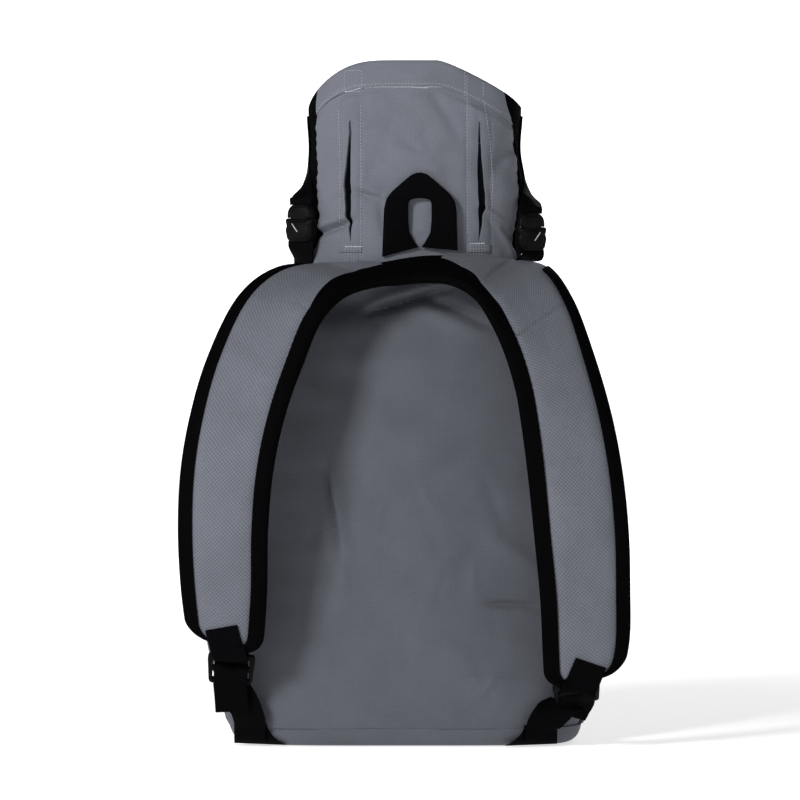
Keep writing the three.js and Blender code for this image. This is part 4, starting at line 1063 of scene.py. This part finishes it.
def makeStrapEnd(place):
    side, Side = place["side"], place["side"].title()
    end = harnessFrame(place["row"])
    a, b = math.radians(place["lean"]), math.radians(place["turn"])
    up = np.array([math.sin(b) * math.cos(a), -math.sin(a), math.cos(b) * math.cos(a)])
    normal = np.array([-math.sin(b) * math.sin(a), -math.cos(a), -math.cos(b) * math.sin(a)])
    f = {"up": up, "normal": normal, "across": np.cross(up, normal),
         "origin": end["middle"] + np.array([place["slide"], 1, place["lean"] / 20])}
    strapUp = end["along"] * (1 if place["row"] == 0 else -1)
    strap = {"origin": end["middle"], "up": strapUp, "normal": end["normal"],
             "across": np.cross(strapUp, end["normal"])}
    levelX = np.array([1.0, 0, 0])
    level = unit(levelX - end["normal"] * float(levelX @ end["normal"]))

    def onStrap(upward, off, share):
        point, _ = onFrame(strap, upward, off, mix(place["tabSlide"], place["slide"], share))
        return point, unit(mix(level, f["across"], share))

    over = harness["top"] + clearance + webbing["thickness"] / 2 + 0.9
    under = harness["bottom"] + clearance + webbing["thickness"] / 2 + 1.2
    tab = [onStrap(17, over, 0), onStrap(8.5, over, 0.3), onStrap(0, over, 0.6), onStrap(-6.6, over + 0.5, 1)]
    tab += roundBar(f, lock["firstBar"], threadRadius, -25, -190)
    tab += [onStrap(5.1, -under, 0.6), onStrap(13.6, -under, 0.3)]
    made = [webbingPiece("strapTab" + Side, tab, webbing["width"], ["strap_tab_" + side])]
    made.append(hardwareCopy("ladderLock" + Side, "ladder_lock_" + side, lock["bevel"]))

    anchorX = place["anchorOut"] * bag["bodyWidth"] / 2
    behind = -(lock["thickness"] / 2 + 2 * clearance + webbing["thickness"] / 2 + 0.3)
    lift = 1.5 + 6 * clearance + webbing["thickness"] / 2
    low = [(*cornerPlane(side, anchorX, z, lift), True) for z in (2.4, 4.8, 8, 12)]
    entry = onFrame(f, lock["lowBar"] - 8, behind - 1)
    reach = []
    for share in (0.25, 0.5, 0.75):
        point = mix(low[-1][0], entry[0], share)
        point[0] = mix(low[-1][0][0], entry[0][0], share ** 2.2)
        point[1] -= 7 * math.sin(math.pi * share)
        reach.append((point, unit(mix(low[-1][1], f["across"], math.sqrt(share)))))
    path = low + reach + [entry, onFrame(f, lock["lowBar"] - 3, behind), onFrame(f, lock["lowBar"] + 1, behind),
                          onFrame(f, lock["gripBar"] - 3, -threadRadius)]
    path += roundBar(f, lock["gripBar"], threadRadius, 180, 0)
    path += [onFrame(f, lock["gripBar"] - 3, threadRadius), onFrame(f, lock["lowBar"], -behind),
             onFrame(f, lock["lowBar"] - place["tail"] / 2, 1 - behind, place["tailSlide"] / 2),
             onFrame(f, lock["lowBar"] - place["tail"], 3 - behind, place["tailSlide"])]
    made.append(webbingPiece("adjuster" + Side, path, webbing["width"], ["adjuster_" + side]))
    made.append(makeAnchor(side, anchorX))
    return made


def makeAnchor(side, anchorX):
    look = {"width": 42, "height": 17, "thickness": 1.5}
    inward = 1 if side == "left" else -1
    reach = webbing["width"] / 2
    rings = []
    for z in (0.6, 0.85, 1.3, 2, 3, 4, 5, 6.2, 7.4, 8.8, 10.4, 12.2, 14, 15.6, 16.6, 17):
        flare = (1 - z / look["height"]) ** 2
        edges = (anchorX - inward * reach, anchorX + inward * mix(reach, look["width"] - reach, flare))
        layers = []
        for out in (2 * clearance + look["thickness"], 2 * clearance):
            layers.append([cornerPlane(side, mix(*edges, share), z, out)[0] for share in np.linspace(0, 1, 12)])
        rings.append(layers[0] + layers[1][::-1])
    return ringPiece("anchorTab" + side.title(), rings, belt, "webbing", ["anchor_tab_" + side], 50)


strapPieces = {place["side"]: makeStrapEnd(place) for place in strapEnds}
print("strap ends made")


def resample(line, count):  # evenly spaced points along a polyline
    line = np.array(line, float)
    run = np.concatenate([[0], np.cumsum(np.linalg.norm(np.diff(line, axis=0), axis=1))])
    places = np.linspace(0, run[-1], count)
    return np.stack([np.interp(places, run, line[:, k]) for k in range(2)], -1)


def yokeTop(x):
    rows = np.arange(8, 12.01, 0.1)
    points = np.array([outerEdge(row) for row in rows])
    return np.interp(x, points[:, 0], points[:, 2])


def makeGrabLoop():
    look = {"width": 59, "height": 61, "holeWidth": 18, "holeHeight": 38, "thickness": 3, "tilt": 5}
    middle = bag["collarLean"] * 1.5
    half, high = look["width"] / 2, look["height"]
    foot = lambda x: float(yokeTop(middle + x)) + harness["top"] * 0.55 + clearance
    base = foot(0)
    # the outline as shares of half the width and of the height, from the foot's left corner clockwise
    outline = [(-1, (foot(-half) - base) / high), (-0.97, 0.3), (-0.95, 0.53), (-0.89, 0.66), (-0.74, 0.755),
               (-0.5, 0.86), (-0.24, 0.965), (-0.1, 0.995), (0.04, 1.0), (0.2, 0.975), (0.5, 0.85),
               (0.8, 0.72), (0.93, 0.62), (0.97, 0.5), (0.985, 0.25), (1, (foot(half) - base) / high)]
    outer = [(x * half, z * high) for x, z in outline]
    side, floor = look["holeWidth"] / 2, 2.6
    tall = look["holeHeight"]
    hole = [(-1.2, floor), (-4, floor + tall * 0.1), (-side * 0.9, floor + tall * 0.3), (-side, floor + tall * 0.55),
            (-side, floor + tall - 4), (-side + 1.2, floor + tall - 1.2), (-side + 4, floor + tall),
            (0, floor + tall + 0.3), (side - 4, floor + tall), (side - 1.2, floor + tall - 1.2),
            (side, floor + tall - 4), (side, floor + tall * 0.55), (side * 0.9, floor + tall * 0.3),
            (4, floor + tall * 0.1), (1.2, floor)]
    count = 110
    outside, inside = resample(outer, count), resample(hole, count)
    deepest = max(float(sectionAt(base + share * high)["back"]) for share in (0, 0.1, 0.2, 0.3))
    tilt = math.radians(look["tilt"])
    shares = np.array([0, 0.03, 0.1, 0.25, 0.45, 0.65, 0.85, 0.96, 1])
    dome = np.array([0.35, 0.8, 1.0, 1.12, 1.0, 1.1, 1.0, 0.8, 0.35]) * look["thickness"] / 2
    rings = []
    for a, b in zip(outside, inside):
        flat = a + np.outer(shares, b - a)
        wave = 0.25 * ripple(flat[:, 0], flat[:, 1], 61, 26)
        upper = np.stack([flat[:, 0], -look["thickness"] / 2 - dome + wave, flat[:, 1]], -1)
        lower = np.stack([flat[:, 0], -look["thickness"] / 2 + dome, flat[:, 1]], -1)
        rings.append(np.concatenate([upper, lower[::-1]]))
    rings = np.array(rings)
    y, z = rings[..., 1].copy(), rings[..., 2].copy()
    rings[..., 1] = y * math.cos(tilt) - z * math.sin(tilt) - deepest - 2 * clearance
    rings[..., 2] = y * math.sin(tilt) + z * math.cos(tilt) + base
    rings[..., 0] += middle
    return ringPiece("grabLoop", rings, belt, "webbing", ["grab_loop"], 55)


sideStraps = [
    {"side": "left", "out": -1, "up": 0.206, "aside": 0.19, "forward": 0.58, "foot": 25},
    {"side": "right", "out": 1, "up": 0.1625, "aside": 0.33, "forward": 0.51, "foot": 24},
]
buckle = {
    "width": 26,
    "height": 30,
    "thickness": 9,
    "turn": 60,  # degrees towards the viewer
    "split": 3.7,  # the joint between the halves, above the middle
    "plugInset": 1.1,
    # ends of the thin pale ridge on each socket, whose pale colour is a painted highlight
    "ridge": ((5.8, -0.4), (0.2, -7.4)),
}


def arc(x, z, radius, start, end, count=7):
    turns = np.radians(np.linspace(start, end, count))
    return [(x + radius * math.cos(t), z + radius * math.sin(t)) for t in turns]


def buckleHalf(name, node, outline, thickness, lay):  # a moulded half, domed, with a groove round its face
    loop = resample(outline + outline[:1], 121)[:-1]
    centre = loop.mean(0)
    half = thickness / 2
    layers = [(0.02, half + 0.9), (0.3, half + 0.8), (0.55, half + 0.55), (0.72, half + 0.2), (0.76, half - 0.25),
              (0.82, half - 0.25), (0.85, half), (0.92, half - 0.5), (0.97, half - 1.4), (1, half - 2.6),
              (1, 1.2 - half), (0.97, 0.5 - half), (0.9, -half), (0.02, -half)]
    rings = [[lay(x, z, off) for x, z in centre + (loop - centre) * scale] for scale, off in layers]
    piece = ringPiece(name, rings, plastic, "plastic", [node], 40)
    return piece


def makeSideStrap(place):
    side, out = place["side"], place["out"]
    Side = side.title()
    h = bag["bodyHeight"]
    z = h + place["up"] * bag["collarHeight"]
    turn = math.radians(buckle["turn"])
    flat = np.array([0.0, 1, 0])
    turned = np.array([out * math.sin(turn), math.cos(turn), 0])
    toViewer = np.array([out * math.cos(turn), -math.sin(turn), 0])

    def surface(height, off, front=0.0):
        s = sectionAt(height)
        return np.array([float(s["middle"]) + out * (float(s["half"]) + off), -front, height])

    def lay(x, up, off):
        return middle + turned * x + np.array([0, 0, up]) + toViewer * off

    lie = webbing["thickness"] / 2 - 0.25  # the strap's front edge touches the gusset
    top = float(rimZ(math.pi if out < 0 else 0)) - bag["hemHeight"] * 0.3
    aside, forward = place["aside"] * buckle["width"], place["forward"] * bag["mouthDepth"] / 2
    middle = surface(z, aside, forward)
    high, low = z + buckle["height"] / 2, z - buckle["height"] / 2
    leave = high + 0.87 * buckle["height"]  # where the strap leaves the gusset
    at = lambda height: np.array([middle[0], middle[1], height])
    upper = [(surface(mix(top, leave, share), lie), flat) for share in (0, 0.2, 0.4, 0.6, 0.8)]
    for rise, outward, front, twist in ((0.87, 0, 0.06, 0), (0.57, 0.25, 0.35, 0.12), (0.3, 0.65, 0.78, 0.5)):
        point = surface(high + rise * buckle["height"], mix(lie, aside, outward), forward * front)
        upper.append((point, unit(mix(flat, turned, twist))))
    upper += [(at(high + 4), turned, True), (at(high - 1), turned, True)]
    webbingPiece("sideWebbing" + Side, upper, webbing["sideWidth"], ["side_webbing_" + side])

    angle = math.pi - out * math.radians(place["foot"]) + (math.pi if out > 0 else 0)

    def sewn(height, off):
        across = unit(skin(angle - out * 0.01, height, off) - skin(angle + out * 0.01, height, off))
        return skin(angle, height, off), across * np.sign(across[1])

    near, nearAcross = sewn(h + 2, lie + 2.8)
    lower = [(at(low + 1), turned), (at(low - 4), turned), (near, unit(mix(nearAcross, turned, 0.2))),
             sewn(h - 5, lie + 1)]
    webbingPiece("sideAnchor" + Side, lower, webbing["sideWidth"] + 3, ["side_anchor_" + side])

    half, top, foot, split = buckle["width"] / 2, buckle["height"] / 2, -buckle["height"] / 2, buckle["split"]
    wide = half - buckle["plugInset"]
    plug = [(-8.6, split - 5), (8.6, split - 5), (8.6, split), (wide, split)] + arc(wide - 8.5, top - 8.5, 8.5, 0, 90)
    plug += arc(8.5 - wide, top - 8.5, 8.5, 90, 180) + [(-wide, split), (-8.6, split)]
    socket = arc(half - 2, split - 2.2, 2, 90, 0, 4) + [(half - 1.1, split - 6), (half, split - 9.5)]
    socket += arc(half - 6, foot + 5, 5, 0, -90, 6) + arc(6 - half, foot + 5, 5, -90, -180, 6)
    socket += [(-half, split - 9.5), (1.1 - half, split - 6)] + arc(2 - half, split - 2.2, 2, 180, 90, 4)
    buckleHalf("sidePlug" + Side, "side_plug_" + side, plug, buckle["thickness"] * 0.62, lay)
    buckleHalf("sideSocket" + Side, "side_socket_" + side, socket, buckle["thickness"] - 0.8, lay)
    # A thin pale ridge on each socket: a painted highlight.
    (x0, z0), (x1, z1) = buckle["ridge"]
    tip = lambda share: lay(mix(x0, x1, share), mix(z0, z1, share), buckle["thickness"] / 2 + 0.1)
    level = unit(np.cross(tip(1) - tip(0), toViewer))
    rings = []
    for share, girth in ((0, 0.2), (0.08, 0.8), (0.5, 1), (0.92, 0.8), (1, 0.2)):
        turns = np.arange(10) * math.pi / 5
        rings.append([tip(share) + (level * math.cos(t) * 0.6 + toViewer * math.sin(t) * 0.7) * girth for t in turns])
    finishPiece(ringPiece("socketGlint" + Side, rings, glintPlastic, "plastic"), glintPlastic, "plastic")


grabLoop = makeGrabLoop()
for strap in sideStraps:
    makeSideStrap(strap)
print("loop and side straps made")


# Stitching, laid on the finished cloth

def threadPiece(name, runs, grounds, material, slot, stitch):  # runs are lines in the viewer's plane
    bpy.context.view_layer.update()
    points, faces, uvs = [], [], []

    def land(x, z):  # the first cloth that is met from the viewer's side
        start = Vector(((x + bagShift[0]) / 1000, -0.5, (z + bagShift[2]) / 1000))
        best = None
        for ground in grounds:
            hit, place, normal, _ = ground.ray_cast(start, Vector((0, 1, 0)))
            if hit and (best is None or place.y < best[0].y):
                best = (place.copy(), normal.copy())
        if best is None:
            return None
        return np.array(best[0]) * 1000 - bagShift, np.array(best[1])

    for run in runs:
        line = np.array(run, float)
        length = float(np.linalg.norm(np.diff(line, axis=0), axis=1).sum())
        count = max(2, int(length / stitch["pitch"]))
        ends = resample(line, count * 2 + 1)
        for k in range(count):
            a, b = land(*ends[2 * k]), land(*mix(ends[2 * k], ends[2 * k + 2], stitch["fill"]))
            if a is None or b is None or np.linalg.norm(b[0] - a[0]) > stitch["pitch"] * 2.5:
                continue
            along = unit(b[0] - a[0])
            normal = unit(a[1] + b[1])
            side = unit(np.cross(normal, along))
            normal = np.cross(along, side)
            first = len(points)
            size = np.linalg.norm(b[0] - a[0])
            for share, girth, lift in ((0, 0.35, -0.15), (0.14, 0.9, 0.15), (0.5, 1, 0.28), (0.86, 0.9, 0.15),
                                       (1, 0.35, -0.15)):
                centre = mix(a[0], b[0], share) + normal * lift * stitch["width"]
                for turn in np.arange(6) * math.pi / 3:
                    offset = side * math.cos(turn) * 0.5 + normal * math.sin(turn) * 0.42
                    points.append(centre + offset * girth * stitch["width"])
                    uvs.append((turn, share * size))
            for ring in range(4):
                for j in range(6):
                    p, q = first + ring * 6 + j, first + ring * 6 + (j + 1) % 6
                    faces.append((p, q, q + 6, p + 6))
            faces.append(tuple(first + j for j in range(5, -1, -1)))
            faces.append(tuple(first + 24 + j for j in range(6)))
    piece = buildMesh(name, np.array(points), faces, uvs, 80)
    return finishPiece(piece, material, slot)


def box(x0, z0, x1, z1):
    return [(x0, z0), (x1, z0), (x1, z1), (x0, z1), (x0, z0)]


def makeStitching():
    fine = {"pitch": 2.6, "fill": 0.66, "width": 0.6}
    tack = {"pitch": 1.5, "fill": 0.9, "width": 1.0}
    collar, hem = collarPieces["collar"], collarPieces["hem"]
    grounds = [collar, hem, *collarPieces["patches"]]
    hemLine = []
    for angle in np.linspace(math.pi + 0.44, 2 * math.pi - 0.7, 60):
        p = skin(angle, rimZ(angle) - bag["hemHeight"] + 2.6)
        hemLine.append((float(p[0]), float(p[2])))
    runs = [
        hemLine,
        [(-51.5, 495), (-50.2, 450), (-50.7, 406)],
        [(-34.3, 499), (-34.0, 440), (-34.5, 378)],
        [(48.7, 523), (48.7, 460), (49.2, 398)],
        [(62, 503), (66.7, 472), (69, 441), (67.5, 406)],
        box(-47, 509.5, -33.4, 526),
        [(47, 525), (47.2, 505)],
        [(61, 525), (61.6, 505)],
    ]
    threadPiece("collarStitching", runs, grounds, greyThread, "cloth", fine)
    rows = [[(-46.3 + 2.3 * k, 389), (-46.1 + 2.3 * k, 377.5)] for k in range(7)]
    rows += [[(51.5 + 2.2 * k, 389.6), (51.9 + 2.2 * k, 381)] for k in range(6)]
    threadPiece("patchStitching", rows, grounds, greyThread, "cloth", {"pitch": 1.9, "fill": 0.5, "width": 0.8})
    bars = [
        [(-46.4, 388.4), (-32.4, 388.6)],
        [(51, 390.6), (62.8, 391.2)],
        [(-46.5, 509.2), (-34, 512.2)],
        [(2.7, 513.0), (18.5, 512.4)],
    ]
    threadPiece("barTacks", bars, grounds, paleThread, "cloth", tack)


makeStitching()
print("stitching made")


# Floor, light and camera

studio = {
    "floor": 0.8,
    "floorGlow": 0.6,  # the paper is lit from behind, more so farther off
    "floorDrop": -0.0006,
    "world": 0.035,
    "keyPower": 93,
    "fillPower": 3,
    "backPower": 30,
}


def makeStage():  # a round floor of paper with a low rim far off, so that every view has a pale ground
    radius, rim, bend = 8.0, 1.5, 0.7
    line = [(0.4, 0.0), (1.0, 0.0), (2.0, 0.0), (4.0, 0.0), (6.0, 0.0), (radius - bend, 0.0)]
    for k in range(1, 9):
        turn = math.pi / 2 * k / 8
        line.append((radius - bend + bend * math.sin(turn), bend - bend * math.cos(turn)))
    line.append((radius, rim))
    around = 96
    points = [(0, 0, studio["floorDrop"])]
    for r, z in line:
        for k in range(around):
            turn = 2 * math.pi * k / around
            points.append((r * math.cos(turn), r * math.sin(turn), z + studio["floorDrop"]))
    faces = [(0, 1 + k, 1 + (k + 1) % around) for k in range(around)]
    for ring in range(len(line) - 1):
        start = 1 + ring * around
        for k in range(around):
            n = (k + 1) % around
            faces.append((start + k, start + around + k, start + around + n, start + n))
    mesh = bpy.data.meshes.new("studioFloor")
    mesh.from_pydata(points, [], faces)
    for face in mesh.polygons:
        face.use_smooth = True
    floor = bpy.data.objects.new("studioFloor", mesh)
    bpy.context.scene.collection.objects.link(floor)
    material, nodes, links, shader = newMaterial("studioPaper", 0.9, specular=0.1)
    shader.inputs["Base Color"].default_value = (studio["floor"], studio["floor"], studio["floor"] * 1.005, 1)
    place = nodes.new("ShaderNodeTexCoord")
    length = nodes.new("ShaderNodeVectorMath")
    length.operation = "LENGTH"
    links.new(place.outputs["Object"], length.inputs[0])
    glow = nodes.new("ShaderNodeMapRange")
    glow.inputs["From Min"].default_value = 0.6
    glow.inputs["From Max"].default_value = 2.2
    glow.inputs["To Min"].default_value = studio["floorGlow"]
    glow.inputs["To Max"].default_value = 1.05
    links.new(length.outputs["Value"], glow.inputs["Value"])
    shader.inputs["Emission Color"].default_value = (1, 1, 1, 1)
    links.new(glow.outputs["Result"], shader.inputs["Emission Strength"])
    mesh.materials.append(material)
    world = bpy.data.worlds.new("studioAir")
    world.use_nodes = True
    background = world.node_tree.nodes["Background"]
    background.inputs["Color"].default_value = (1, 1, 1, 1)
    background.inputs["Strength"].default_value = studio["world"]
    bpy.context.scene.world = world


def addSoftbox(name, place, target, size, power):
    light = bpy.data.lights.new(name, "AREA")
    light.shape = "RECTANGLE"
    light.size, light.size_y = size
    light.energy = power
    lamp = bpy.data.objects.new(name, light)
    lamp.location = place
    lamp.rotation_euler = (Vector(target) - Vector(place)).to_track_quat("-Z", "Y").to_euler()
    bpy.context.scene.collection.objects.link(lamp)


def makeCamera():
    look = {"distance": 5.0, "rise": 2.0, "aim": (-0.0035, -0.03, 0.269), "frameWidth": 0.624}
    data = bpy.data.cameras.new("photoView")
    data.sensor_width = 36
    data.lens = 36 * look["distance"] / look["frameWidth"]
    data.clip_end = 40
    camera = bpy.data.objects.new("photoView", data)
    rise = math.radians(look["rise"])
    aim = Vector(look["aim"])
    camera.location = aim + Vector((0, -math.cos(rise), math.sin(rise))) * look["distance"]
    camera.rotation_euler = (aim - camera.location).to_track_quat("-Z", "Y").to_euler()
    bpy.context.scene.collection.objects.link(camera)
    bpy.context.scene.camera = camera


makeStage()
addSoftbox("keyLight", (-1.6, -2.35, 1.6), (0, 0, 0.25), (0.6, 0.6), studio["keyPower"])
addSoftbox("fillLight", (0.9, -2.8, 0.45), (0, 0, 0.25), (1.0, 1.0), studio["fillPower"])
addSoftbox("backLight", (0.9, 2.7, 1.3), (0, 0, 0.25), (1.2, 1.2), studio["backPower"])
makeCamera()
bpy.context.scene.view_settings.view_transform = "Standard"
print("stage made")
